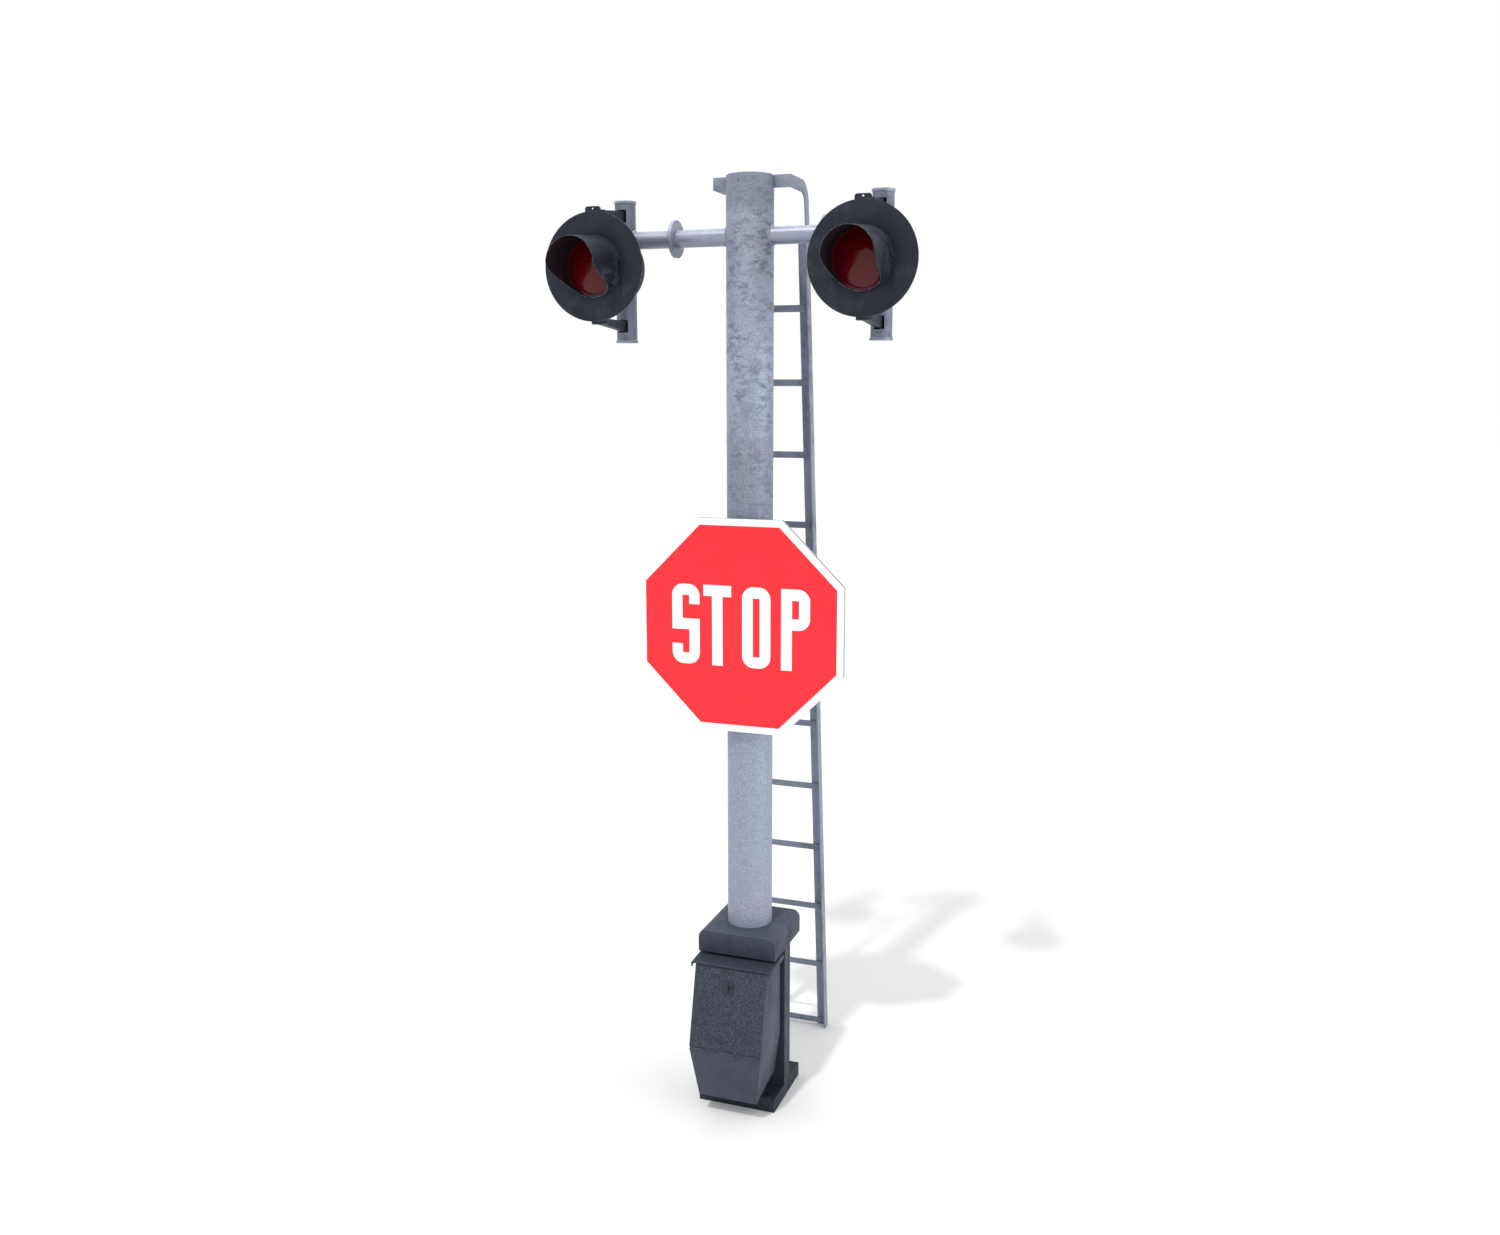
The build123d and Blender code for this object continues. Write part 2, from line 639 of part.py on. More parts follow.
def letter_t():
    half, top = LETTER_W / 2, LETTER_H / 2
    return bar(-half, half, top - STROKE, top) + bar(-STROKE / 2, STROKE / 2, -top, top)


def letter_o():
    half, top = LETTER_W / 2, LETTER_H / 2
    face = bar(-half, half, -top, top)
    face = fillet(face.vertices(), LETTER_ROUND)
    return face - bar(-half + STROKE, half - STROKE, -top + STROKE, top - STROKE)


def letter_p():
    half, top = LETTER_W / 2, LETTER_H / 2
    bowl = bar(-half, half, 0, top)
    bowl = fillet(bowl.vertices().group_by(Axis.X)[-1], LETTER_ROUND)
    bowl -= bar(-half + STROKE, half - STROKE, STROKE, top - STROKE)
    return bowl + bar(-half, -half + STROKE, -top, top)


def sign_legend():
    """Plain block letters built from strokes of one width."""
    plane = Plane.XZ.offset(SIGN_FRONT)
    solids = []
    for x, face in zip(LETTER_X, (letter_s(), letter_t(), letter_o(), letter_p())):
        solids.append(extrude(plane * (Pos(x, SIGN_Z) * face), SHEET_T))
    return Compound(children=[solid for group in solids for solid in group.solids()])


def sign_rails():
    """Two channels riveted to the back of the plate."""
    back = -SIGN_FRONT + 2 * SHEET_T + SIGN_T
    rails = []
    for z in (SIGN_Z - RAIL_Z, SIGN_Z + RAIL_Z):
        half_l, half_h = RAIL_LENGTH / 2, RAIL_H / 2
        rail = block(-half_l, half_l, back, back + RAIL_DEPTH, z - half_h, z + half_h)
        inner = half_h - RAIL_T
        rail -= block(-half_l, half_l, back, back + RAIL_DEPTH - RAIL_T, z - inner, z + inner)
        for x in (-UBOLT_X, UBOLT_X):
            rail -= rod(UBOLT_R + RUN, (x, back, z), (x, 0, z))
        rails.append(rail)
    return Compound(children=rails)


def sign_saddles():
    """Blocks between the rails and the pole, hollowed to the pole."""
    y0 = -SIGN_FRONT + 2 * SHEET_T + SIGN_T + RAIL_DEPTH
    saddles = []
    for z in (SIGN_Z - RAIL_Z, SIGN_Z + RAIL_Z):
        saddle = block(-SADDLE_X, SADDLE_X, y0, -POLE_R * SADDLE_WRAP, z - RAIL_H / 2, z + RAIL_H / 2)
        saddle -= rod(POLE_R + RUN, (0, 0, z - RAIL_H), (0, 0, z + RAIL_H))
        saddles.append(saddle)
    return Compound(children=saddles)


def sign_ubolts():
    """Round steel bent half round the pole."""
    front = -SIGN_FRONT + 2 * SHEET_T + SIGN_T + RAIL_T
    bolts = []
    for z in (SIGN_Z - RAIL_Z, SIGN_Z + RAIL_Z):
        legs = [Line((x, front, z), (x, 0, z)) for x in (-UBOLT_X, UBOLT_X)]
        bend = ThreePointArc((-UBOLT_X, 0, z), (0, UBOLT_X, z), (UBOLT_X, 0, z))
        path = Wire([legs[0], bend, legs[1]])
        section = Plane((-UBOLT_X, front, z), z_dir=(0, 1, 0)) * Circle(UBOLT_R)
        bolts.append(sweep(section, path=path))
    return Compound(children=bolts)


def sign_nuts():
    y0 = -SIGN_FRONT + 2 * SHEET_T + SIGN_T + RAIL_DEPTH - RAIL_T
    nuts = []
    for z in (SIGN_Z - RAIL_Z, SIGN_Z + RAIL_Z):
        for x in (-UBOLT_X, UBOLT_X):
            nut = hexagon(UBOLT_NUT, (x, y0 - UBOLT_NUT_T, z), (x, y0, z))
            nuts.append(nut - rod(UBOLT_R + RUN, (x, y0 - UBOLT_NUT_T - 1, z), (x, y0 + 1, z)))
    return Compound(children=nuts)


# ------------------------------------------------------------------ ladder

def ladder_back(z):
    """Y of the stiles' back edge at a height."""
    return LADDER_FOOT_Y - LADDER_LEAN * z


def ladder_stile(side):
    """An angle with a flat gooseneck welded on, which hooks forward to the pole."""
    outer = side * LADDER_WIDTH / 2
    web_x = sorted((outer, outer - side * ANGLE_T))
    leg_x = sorted((outer, outer - side * ANGLE_LEG))
    low = -BEYOND
    foot, top = ladder_back(low), ladder_back(ANGLE_TOP)
    web = [(foot, low), (top, ANGLE_TOP), (top - ANGLE_LEG, ANGLE_TOP), (foot - ANGLE_LEG, low)]
    leg = [(foot, low), (top, ANGLE_TOP), (top - ANGLE_T, ANGLE_TOP), (foot - ANGLE_T, low)]
    stile = shift(side_prism(web, ANGLE_T / 2), sum(web_x) / 2)
    stile += shift(side_prism(leg, ANGLE_LEG / 2), sum(leg_x) / 2)
    stile += hook(side)
    return stile - block(-LADDER_WIDTH, LADDER_WIDTH, 0, 2 * LADDER_FOOT_Y, 2 * low, 0)


def shift(solid, x):
    return Pos(x, 0, 0) * solid


def hook(side):
    x = side * (LADDER_WIDTH - ANGLE_T) / 2
    middle = ANGLE_LEG / 2
    z = SIGNAL_HEIGHT - middle
    start = (x, HANGER_Y, z)
    corner = (x, ladder_back(z) - middle, z)
    end = (x, ladder_back(ANGLE_TOP) - middle, ANGLE_TOP)
    path = FilletPolyline(start, corner, end, radius=HOOK_BEND)
    section = Plane(start, x_dir=(1, 0, 0), z_dir=(0, 1, 0)) * Rectangle(ANGLE_T, ANGLE_LEG)
    return sweep(section, path=path)


def ladder_hangers():
    """Flat stubs from the pole's top to the stiles' hooks."""
    inside = LADDER_WIDTH / 2 - ANGLE_T
    stubs = []
    for side in (-1, 1):
        x0, x1 = sorted((side * inside, side * (POLE_R - HANGER_T)))
        stub = block(x0, x1, HANGER_Y, HANGER_Y + HANGER_T, SIGNAL_HEIGHT - ANGLE_LEG, SIGNAL_HEIGHT)
        stubs.append(stub - rod(POLE_R, (0, 0, ARM_Z), (0, 0, SIGNAL_HEIGHT + 1)))
    return Compound(children=stubs)


def ladder_rungs():
    """Flat bars welded to the front of the angles' back legs."""
    inside = LADDER_WIDTH / 2 - ANGLE_T
    rungs = []
    for i in range(RUNG_COUNT):
        z = RUNG_FIRST + i * RUNG_PITCH
        half = RUNG_H / 2
        back = [ladder_back(z + s * half) - ANGLE_T for s in (-1, 1)]
        outline = [(back[0], z - half), (back[1], z + half),
                   (back[1] - RUNG_T, z + half), (back[0] - RUNG_T, z - half)]
        rungs.append(side_prism(outline, inside))
    return Compound(children=rungs)


# ----------------------------------------------------------------- cabinet

PANEL = hypot(CREASE_Y - BOX_FRONT_TOP, BOX_TOP - CREASE_Z)
PANEL_SIN = (CREASE_Y - BOX_FRONT_TOP) / PANEL
PANEL_COS = (BOX_TOP - CREASE_Z) / PANEL
TAPER = (BOX_WIDTH - BOX_FOOT_WIDTH) / 2 / (CREASE_Z - BOX_TOE_Z)


def on_panel(up, out):
    """A (Y, Z) point at a distance up the door's face from the crease, and out from it."""
    y = -CREASE_Y + up * PANEL_SIN - out * PANEL_COS
    z = CREASE_Z + up * PANEL_COS + out * PANEL_SIN
    return (y, z)


DOOR_LENGTH = (DOOR_TOP_Z - CREASE_Z) / PANEL_COS
PIANO_AXIS = on_panel(0, 0)
SETBACK = DOOR_RETURN + CLEAR


def box_solid(inset, front_setback):
    """The cabinet's outer form, made smaller all round by inset."""
    heel = (-BOX_BACK, BOX_HEEL_Z)
    side = [(-BOX_BACK, BOX_BACK_TOP), on_panel(PANEL, -front_setback),
            on_panel(0, -front_setback), (-CREASE_Y + 1, CREASE_Z - CREASE_DROP), (-BOX_TOE_Y, BOX_TOE_Z), heel]
    half, low, high = BOX_WIDTH / 2, BOX_TOE_Z - BEYOND, BOX_BACK_TOP + BEYOND
    narrow = half - TAPER * (CREASE_Z - low)
    front = [(-half, high), (-half, CREASE_Z), (-narrow, low), (narrow, low), (half, CREASE_Z),
             (half, high)]
    side_face = make_face(Plane.YZ * Polyline(*side, close=True))
    front_face = make_face(Plane.XZ * Polyline(*front, close=True))
    if inset:
        side_face = offset(side_face, -inset)
        front_face = offset(front_face, -inset)
    return extrude(side_face, half, both=True) & extrude(front_face, 2 * CREASE_Y, both=True)


def panel_prism(up0, up1, out0, out1, half_width):
    return side_prism([on_panel(up0, out0), on_panel(up1, out0), on_panel(up1, out1),
                       on_panel(up0, out1)], half_width)


def knuckle_spans(door):
    """X ranges of the piano hinge's knuckles on the door or on the box."""
    pitch = PIANO_LENGTH / PIANO_KNUCKLES
    spans = []
    for i in range(PIANO_KNUCKLES):
        if (i % 2 == 1) == door:
            x0 = -PIANO_LENGTH / 2 + i * pitch
            spans.append((x0 + CLEAR / 2, x0 + pitch - CLEAR / 2))
    return spans


def along_hinge(radius, x0, x1):
    y, z = PIANO_AXIS
    return rod(radius, (x0, y, z), (x1, y, z))


def cabinet_shell():
    shell = box_solid(0, SETBACK)
    y, z = PIANO_AXIS
    shell -= along_hinge(PIANO_R + CLEAR, -BOX_WIDTH, BOX_WIDTH)
    for x0, x1 in knuckle_spans(False):
        shell += along_hinge(PIANO_R, x0, x1)
        shell += block(x0, x1, y, y + 1.5 * PIANO_R, z - 3 * PIANO_R, z - PIANO_R / 2)
    shell -= box_solid(SHEET, SETBACK)
    edge = BOX_WIDTH / 2 - FRAME_EDGE
    shell -= panel_prism(FRAME_EDGE, DOOR_LENGTH - FRAME_EDGE, BEYOND, -BEYOND, edge)
    shell -= along_hinge(PIANO_PIN_R + RUN, -BOX_WIDTH, BOX_WIDTH)
    shell -= rod(GLAND_R + RUN, (0, -BOX_BACK - BEYOND, GLAND_Z), (0, 0, GLAND_Z))
    for x, z in fixing_places():
        shell -= rod(FIX_R + CLEAR, (x, -BOX_BACK - BEYOND, z), (x, 0, z))
    return shell


def cabinet_door():
    """A pressed door with returned edges, hung on a piano hinge at the crease."""
    half = BOX_WIDTH / 2
    low = PIANO_R + 2 * CLEAR
    door = panel_prism(low, DOOR_LENGTH, 0, -DOOR_RETURN, half)
    door -= panel_prism(low + SHEET, DOOR_LENGTH - SHEET, -SHEET, -DOOR_RETURN - 1, half - SHEET)
    door -= along_hinge(PIANO_R + CLEAR, -BOX_WIDTH, BOX_WIDTH)
    for x0, x1 in knuckle_spans(True):
        door += along_hinge(PIANO_R, x0, x1)
        strap = panel_prism(0, low + STRAP_LAP, 0, -SHEET, (x1 - x0) / 2)
        door += shift(strap, (x0 + x1) / 2)
    door -= along_hinge(PIANO_PIN_R + RUN, -BOX_WIDTH, BOX_WIDTH)
    return door - lock_bore(LOCK_R + RUN)


def lock_up():
    return (LOCK_Z - CREASE_Z) / PANEL_COS


def lock_bore(radius):
    return rod(radius, panel_point(lock_up(), BEYOND), panel_point(lock_up(), -BEYOND))


def panel_point(up, out):
    y, z = on_panel(up, out)
    return (0, y, z)


def cabinet_door_seal():
    half = BOX_WIDTH / 2 - SHEET - 2 * CLEAR
    low, high = PIANO_R + SHEET + 4 * CLEAR, DOOR_LENGTH - SHEET - 2 * CLEAR
    ring = panel_prism(low, high, -SHEET, -SHEET - DOOR_SEAL, half)
    low, high, half = low + DOOR_SEAL_W, high - DOOR_SEAL_W, half - DOOR_SEAL_W
    return ring - panel_prism(low, high, -SHEET + 1, -DOOR_RETURN, half)


def cabinet_hinge_pin():
    return along_hinge(PIANO_PIN_R, -PIANO_LENGTH / 2 - CLEAR, PIANO_LENGTH / 2 + CLEAR)


def lid_line(y):
    """Height of the cabinet's sloping top at a distance in front of the pole."""
    slope = (BOX_BACK_TOP - BOX_TOP) / (BOX_FRONT_TOP - BOX_BACK)
    return BOX_BACK_TOP - slope * (y - BOX_BACK)


def cabinet_rain_hood():
    """A folded sheet with lips at the front and sides."""
    half = BOX_WIDTH / 2 + LID_OVERHANG
    back = BOX_BACK + SHEET
    outer = [(-back, lid_line(back) + SHEET), (-LID_FRONT, lid_line(LID_FRONT) + SHEET),
             (-LID_FRONT, lid_line(LID_FRONT) + SHEET - LID_LIP), (-back, lid_line(back) + SHEET - LID_LIP)]
    inner = [(-back + 1, lid_line(back - 1)), (-LID_FRONT + SHEET, lid_line(LID_FRONT - SHEET)),
             (-LID_FRONT + SHEET, lid_line(LID_FRONT) - LID_LIP), (-back + 1, lid_line(back) - LID_LIP)]
    solid = fillet(lid_folds(side_prism(outer, half)), LID_ROUND)
    solid -= fillet(lid_folds(side_prism(inner, half - SHEET)), LID_ROUND - SHEET)
    lip_end = lid_line(LID_FRONT) + SHEET - LID_FRONT_LIP
    return solid - block(-half + LID_ROUND, half - LID_ROUND, -LID_FRONT - 1, -LID_FRONT + LID_LIP,
                         lip_end - LID_LIP, lip_end)


def lid_folds(solid):
    """The two top edges that run down the slope at the sides."""
    top = solid.faces().sort_by(Axis.Z)[-1]
    return top.edges().sort_by(Axis.X)[0:1] + top.edges().sort_by(Axis.X)[-1:]


def cabinet_lock_plate():
    """The raised plate round the lock, with a tall slot for the key."""
    up = lock_up()
    half = (PLATE_LEFT + PLATE_RIGHT) / 2
    plate = shift(panel_prism(up - PLATE_H / 2, up + PLATE_H / 2, 0, PLATE_T, half), PLATE_RIGHT - half)
    return plate - panel_prism(up - KEY_SLOT_H / 2, up + KEY_SLOT_H / 2, -1, PLATE_T + 1, KEY_SLOT_W / 2)


def cabinet_lock():
    """A quarter-turn key barrel with its cam inside the door."""
    up = lock_up()
    depth = SHEET + LOCK_DEPTH
    barrel = rod(LOCK_R, panel_point(up, -LOCK_SINK), panel_point(up, -depth))
    slot = panel_prism(up - KEYWAY_H / 2, up + KEYWAY_H / 2, 1, -KEYWAY_DEPTH, KEYWAY_W / 2)
    cam = panel_prism(up - CAM_TAIL, up + CAM_REACH, -depth, -depth - CAM_T, CAM_W / 2)
    return merge(barrel, cam) - slot


def fixing_places():
    return [(side * FIX_X, z) for side in (-1, 1) for z in FIX_Z]


def cabinet_spacers():
    """Tubes that hold the cabinet off the pedestal's web."""
    spacers = []
    for x, z in fixing_places():
        tube = rod(FIX_R + SPACER_WALL, (x, -BOX_BACK, z), (x, -WEB_THICKNESS, z))
        spacers.append(tube - rod(FIX_R + RUN, (x, -BOX_BACK - 1, z), (x, 0, z)))
    return Compound(children=spacers)


def cabinet_bolts():
    """Bolts from inside the cabinet into the web."""
    bolts = []
    inside = -BOX_BACK - SHEET
    for x, z in fixing_places():
        shank = rod(FIX_R, (x, inside, z), (x, -WEB_THICKNESS, z))
        bolts.append(shank + hexagon(FIX_HEAD, (x, inside - FIX_HEAD_T, z), (x, inside, z)))
    return Compound(children=bolts)


def cable_gland():
    """A tube that carries the wires from the cabinet into the pedestal's duct."""
    inside = -BOX_BACK - SHEET
    y0, y1 = inside - GLAND_NUT_T, -DUCT_R
    tube = rod(GLAND_R, (0, y0, GLAND_Z), (0, y1, GLAND_Z))
    tube += hexagon(GLAND_NUT, (0, y0, GLAND_Z), (0, inside, GLAND_Z))
    return tube - rod(GLAND_R - GLAND_WALL, (0, y0 - 1, GLAND_Z), (0, y1 + 1, GLAND_Z))


def terminal_rail():
    half, inside = BOX_WIDTH / 2 - RAIL35_MARGIN, -BOX_BACK - SHEET
    edge = RAIL35_H / 2
    rail = block(-half, half, inside - RAIL35_DEPTH, inside, RAIL35_Z - edge, RAIL35_Z + edge)
    edge -= RAIL35_LIP
    face = inside - RAIL35_DEPTH + RAIL35_T
    return rail - block(-half, half, face, inside, RAIL35_Z - edge, RAIL35_Z + edge)


def terminal_blocks():
    """A row of two-way clamps clipped to the rail."""
    blocks = []
    back = -BOX_BACK - SHEET - RAIL35_DEPTH
    front = back - TERMINAL_DEPTH
    half_w, half_h = TERMINAL_W / 2, TERMINAL_H / 2
    for i in range(TERMINALS):
        x = (i - (TERMINALS - 1) / 2) * TERMINAL_PITCH
        body = block(x - half_w, x + half_w, front, back, RAIL35_Z - half_h, RAIL35_Z + half_h)
        for z in (RAIL35_Z - SCREW_Z, RAIL35_Z + SCREW_Z):
            body -= rod(SCREW_R, (x, front - 1, z), (x, front + SCREW_DEPTH, z))
        blocks.append(body)
    return Compound(children=blocks)


# ------------------------------------------------------------------ output

NODES = {
    "pedestal_front": pedestal_half(-1),
    "pedestal_rear": pedestal_half(1),
    "pedestal_tie_bolts": tie_bolts(),
    "pedestal_tie_nuts": tie_nuts(),
    "pole": pole(),
    "pole_cap": pole_cap(),
    "crossarm": crossarm(),
    "crossarm_collar_left": collar(-1),
    "crossarm_collar_right": collar(1),
    "lamp_post_left": lamp_post(-1),
    "lamp_post_right": lamp_post(1),
    "lamp_post_caps": lamp_post_caps(),
    "lamp_tie_rods": lamp_tie_rods(),
    "lamp_pivot_pins": pivot_bolts(),
    "sign_plate": sign_plate(),
    "sign_white_sheet": sign_white_sheet(),
    "sign_red_sheet": sign_red_sheet(),
    "sign_legend": sign_legend(),
    "sign_rails": sign_rails(),
    "sign_saddles": sign_saddles(),
    "sign_ubolts": sign_ubolts(),
    "sign_ubolt_nuts": sign_nuts(),
    "ladder_stile_left": ladder_stile(-1),
    "ladder_stile_right": ladder_stile(1),
    "ladder_rungs": ladder_rungs(),
    "ladder_hangers": ladder_hangers(),
    "cabinet_shell": cabinet_shell(),
    "cabinet_door": cabinet_door(),
    "cabinet_door_seal": cabinet_door_seal(),
    "cabinet_hinge_pin": cabinet_hinge_pin(),
    "cabinet_rain_hood": cabinet_rain_hood(),
    "cabinet_lock_plate": cabinet_lock_plate(),
    "cabinet_lock": cabinet_lock(),
    "cabinet_spacers": cabinet_spacers(),
    "cabinet_bolts": cabinet_bolts(),
    "cable_gland": cable_gland(),
    "terminal_rail": terminal_rail(),
    "terminal_blocks": terminal_blocks(),
}

LAMP_PIECES = {
    "lamp_brackets": lamp_brackets,
    "lamp_housing": lamp_housing,
    "lamp_background": background,
    "lamp_hood": hood,
    "lamp_lens": lens,
    "lamp_lens_seal": lens_seal,
    "lamp_reflector": reflector,
    "lamp_bulb": bulb,
    "lamp_socket": bulb_socket,
    "lamp_hinge_pin": lamp_hinge_pin,
}

for side, word in ((-1, "left"), (1, "right")):
    for name, make in LAMP_PIECES.items():
        NODES[f"{name}_{word}"] = make(side)

os.makedirs("parts", exist_ok=True)
for name, solid in NODES.items():
    export_step(solid, f"parts/{name}.step")
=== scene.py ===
import json
import math

import bpy
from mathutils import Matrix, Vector


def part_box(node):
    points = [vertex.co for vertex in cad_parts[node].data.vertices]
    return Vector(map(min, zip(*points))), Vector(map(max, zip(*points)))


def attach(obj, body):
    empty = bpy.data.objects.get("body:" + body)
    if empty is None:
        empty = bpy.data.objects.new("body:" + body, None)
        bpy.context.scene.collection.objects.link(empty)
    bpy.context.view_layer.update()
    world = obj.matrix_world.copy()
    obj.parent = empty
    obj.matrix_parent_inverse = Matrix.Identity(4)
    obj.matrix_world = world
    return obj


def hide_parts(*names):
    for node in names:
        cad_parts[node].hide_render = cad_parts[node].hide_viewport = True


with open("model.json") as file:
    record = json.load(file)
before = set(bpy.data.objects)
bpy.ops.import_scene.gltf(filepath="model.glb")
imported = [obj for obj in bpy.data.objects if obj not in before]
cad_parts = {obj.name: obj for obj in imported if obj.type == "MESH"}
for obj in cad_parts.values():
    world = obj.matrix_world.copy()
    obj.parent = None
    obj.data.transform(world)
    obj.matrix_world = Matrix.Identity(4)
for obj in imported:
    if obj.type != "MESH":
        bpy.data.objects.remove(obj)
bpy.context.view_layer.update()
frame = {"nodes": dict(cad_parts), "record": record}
nodes = frame["nodes"]


# --- Floor, light and camera -----------------------------------------------------------------
# A wide matt white floor under an even white sky, with a soft sun from the front and a
# little to the left, and a cool fill from the right. The camera stands to the right of
# the front, above the sign.

FLOOR_SIZE = 120
bpy.ops.mesh.primitive_plane_add(size=FLOOR_SIZE, location=(0, 0, 0))
floor = bpy.context.object
floor.name = "floor"
floor_paint = bpy.data.materials.new("floor_paint")
floor_paint.use_nodes = True
floor_shader = floor_paint.node_tree.nodes["Principled BSDF"]
floor_shader.inputs["Base Color"].default_value = (0.8, 0.8, 0.8, 1)
floor_shader.inputs["Roughness"].default_value = 1.0
floor_shader.inputs["Specular IOR Level"].default_value = 0.0
floor.data.materials.append(floor_paint)

sky = bpy.data.worlds.new("sky")
sky.use_nodes = True
sky.node_tree.nodes["Background"].inputs["Color"].default_value = (1, 1, 1, 1)
sky.node_tree.nodes["Background"].inputs["Strength"].default_value = 1.0
bpy.context.scene.world = sky
bpy.context.scene.view_settings.view_transform = "Standard"

SUN_TRAVEL = Vector((0.1, 0.54, -0.83))
SUN_STRENGTH = 1.35
SUN_WIDTH = math.radians(3)
sun_light = bpy.data.lights.new("sun", "SUN")
sun_light.energy = SUN_STRENGTH
sun_light.angle = SUN_WIDTH
sun = bpy.data.objects.new("sun", sun_light)
sun.rotation_mode = "QUATERNION"
sun.rotation_quaternion = SUN_TRAVEL.to_track_quat("-Z", "Y")
bpy.context.scene.collection.objects.link(sun)

FILL_PLACE = Vector((6.0, -0.8, 2.2))
FILL_TARGET = Vector((0, 0, 1.8))
FILL_SIZE = 4.0
FILL_STRENGTH = 110
FILL_TINT = (0.86, 0.93, 1.0)
fill_light = bpy.data.lights.new("fill", "AREA")
fill_light.size = FILL_SIZE
fill_light.energy = FILL_STRENGTH
fill_light.color = FILL_TINT
fill = bpy.data.objects.new("fill", fill_light)
fill.location = FILL_PLACE
fill.rotation_mode = "QUATERNION"
fill.rotation_quaternion = (FILL_TARGET - FILL_PLACE).to_track_quat("-Z", "Y")
bpy.context.scene.collection.objects.link(fill)

CAMERA_AZIMUTH = math.radians(19.72)
CAMERA_ELEVATION = math.radians(10.12)
CAMERA_DISTANCE = 5.611
CAMERA_TARGET = Vector((0, 0, 2.153))
SENSOR_WIDTH = 36
FOCAL_LENGTH = 31.78
away = Vector((math.sin(CAMERA_AZIMUTH) * math.cos(CAMERA_ELEVATION),
               -math.cos(CAMERA_AZIMUTH) * math.cos(CAMERA_ELEVATION),
               math.sin(CAMERA_ELEVATION)))
optics = bpy.data.cameras.new("camera")
optics.sensor_width = SENSOR_WIDTH
optics.lens = FOCAL_LENGTH
camera = bpy.data.objects.new("camera", optics)
camera.location = CAMERA_TARGET + away * CAMERA_DISTANCE
camera.rotation_mode = "QUATERNION"
camera.rotation_quaternion = (-away).to_track_quat("-Z", "Y")
bpy.context.scene.collection.objects.link(camera)
bpy.context.scene.camera = camera


# --- Pedestal --------------------------------------------------------------------------------
# Two iron castings painted dark blue grey, which meet on the pole's plane and are drawn
# together by bolts through the web. Their skin keeps the fine grain of the sand mould.

def node_group(name, inputs, outputs):
    """An empty shader group with float inputs {name: default} and outputs {name: socket type}."""
    group = bpy.data.node_groups.new(name, "ShaderNodeTree")
    for label, default in inputs.items():
        socket = group.interface.new_socket(label, in_out="INPUT", socket_type="NodeSocketFloat")
        socket.default_value = default
    for label, kind in outputs.items():
        group.interface.new_socket(label, in_out="OUTPUT", socket_type=kind)
    return group, group.nodes.new("NodeGroupInput"), group.nodes.new("NodeGroupOutput")


def wire(tree, source, source_socket, target, target_socket):
    """Links an output of one shader node to an input of another."""
    tree.links.new(source.outputs[source_socket], target.inputs[target_socket])


def place(tree, kind, settings=None, **sockets):
    """A shader node with its own settings and plain socket values."""
    node = tree.nodes.new(kind)
    for key, value in (settings or {}).items():
        setattr(node, key, value)
    for label, value in sockets.items():
        node.inputs[label.replace("_", " ")].default_value = value
    return node


# Mottling: ragged patches, from 0 to 1. A second pattern, WIDE_SHARE as fine, gathers them in
# some places and leaves others clean. A Stretch above 1 makes them wider than they are tall.
WIDE_SHARE = 0.33
mottle, mottle_in, mottle_out = node_group(
    "mottle", {"Patch Scale": 6.0, "Stretch": 1.0, "Low": 0.4, "High": 0.6, "Seed": 0.0},
    {"Mask": "NodeSocketFloat"})
coordinates = place(mottle, "ShaderNodeTexCoord")
spread = place(mottle, "ShaderNodeCombineXYZ", X=1.0, Y=1.0)
wire(mottle, mottle_in, "Stretch", spread, "Z")
stretched = place(mottle, "ShaderNodeVectorMath", {"operation": "MULTIPLY"})
wire(mottle, coordinates, "Object", stretched, 0)
wire(mottle, spread, 0, stretched, 1)
clouds = place(mottle, "ShaderNodeTexNoise", {"noise_dimensions": "4D"}, Detail=9.0, Roughness=0.72)
wire(mottle, stretched, 0, clouds, "Vector")
wire(mottle, mottle_in, "Patch Scale", clouds, "Scale")
wire(mottle, mottle_in, "Seed", clouds, "W")
cloud_range = place(mottle, "ShaderNodeMapRange", {"interpolation_type": "SMOOTHSTEP"})
wire(mottle, clouds, "Fac", cloud_range, "Value")
wire(mottle, mottle_in, "Low", cloud_range, "From Min")
wire(mottle, mottle_in, "High", cloud_range, "From Max")
wide_scale = place(mottle, "ShaderNodeMath", {"operation": "MULTIPLY"})
wide_scale.inputs[1].default_value = WIDE_SHARE
wire(mottle, mottle_in, "Patch Scale", wide_scale, 0)
wide = place(mottle, "ShaderNodeTexNoise", Detail=2.0)
wire(mottle, coordinates, "Object", wide, "Vector")
wire(mottle, wide_scale, 0, wide, "Scale")
wide_range = place(mottle, "ShaderNodeMapRange", {"interpolation_type": "SMOOTHSTEP"},
                   From_Min=0.36, From_Max=0.6)
wire(mottle, wide, "Fac", wide_range, "Value")
gathered = place(mottle, "ShaderNodeMath", {"operation": "MULTIPLY"})
wire(mottle, cloud_range, 0, gathered, 0)
wire(mottle, wide_range, 0, gathered, 1)
wire(mottle, gathered, 0, mottle_out, "Mask")

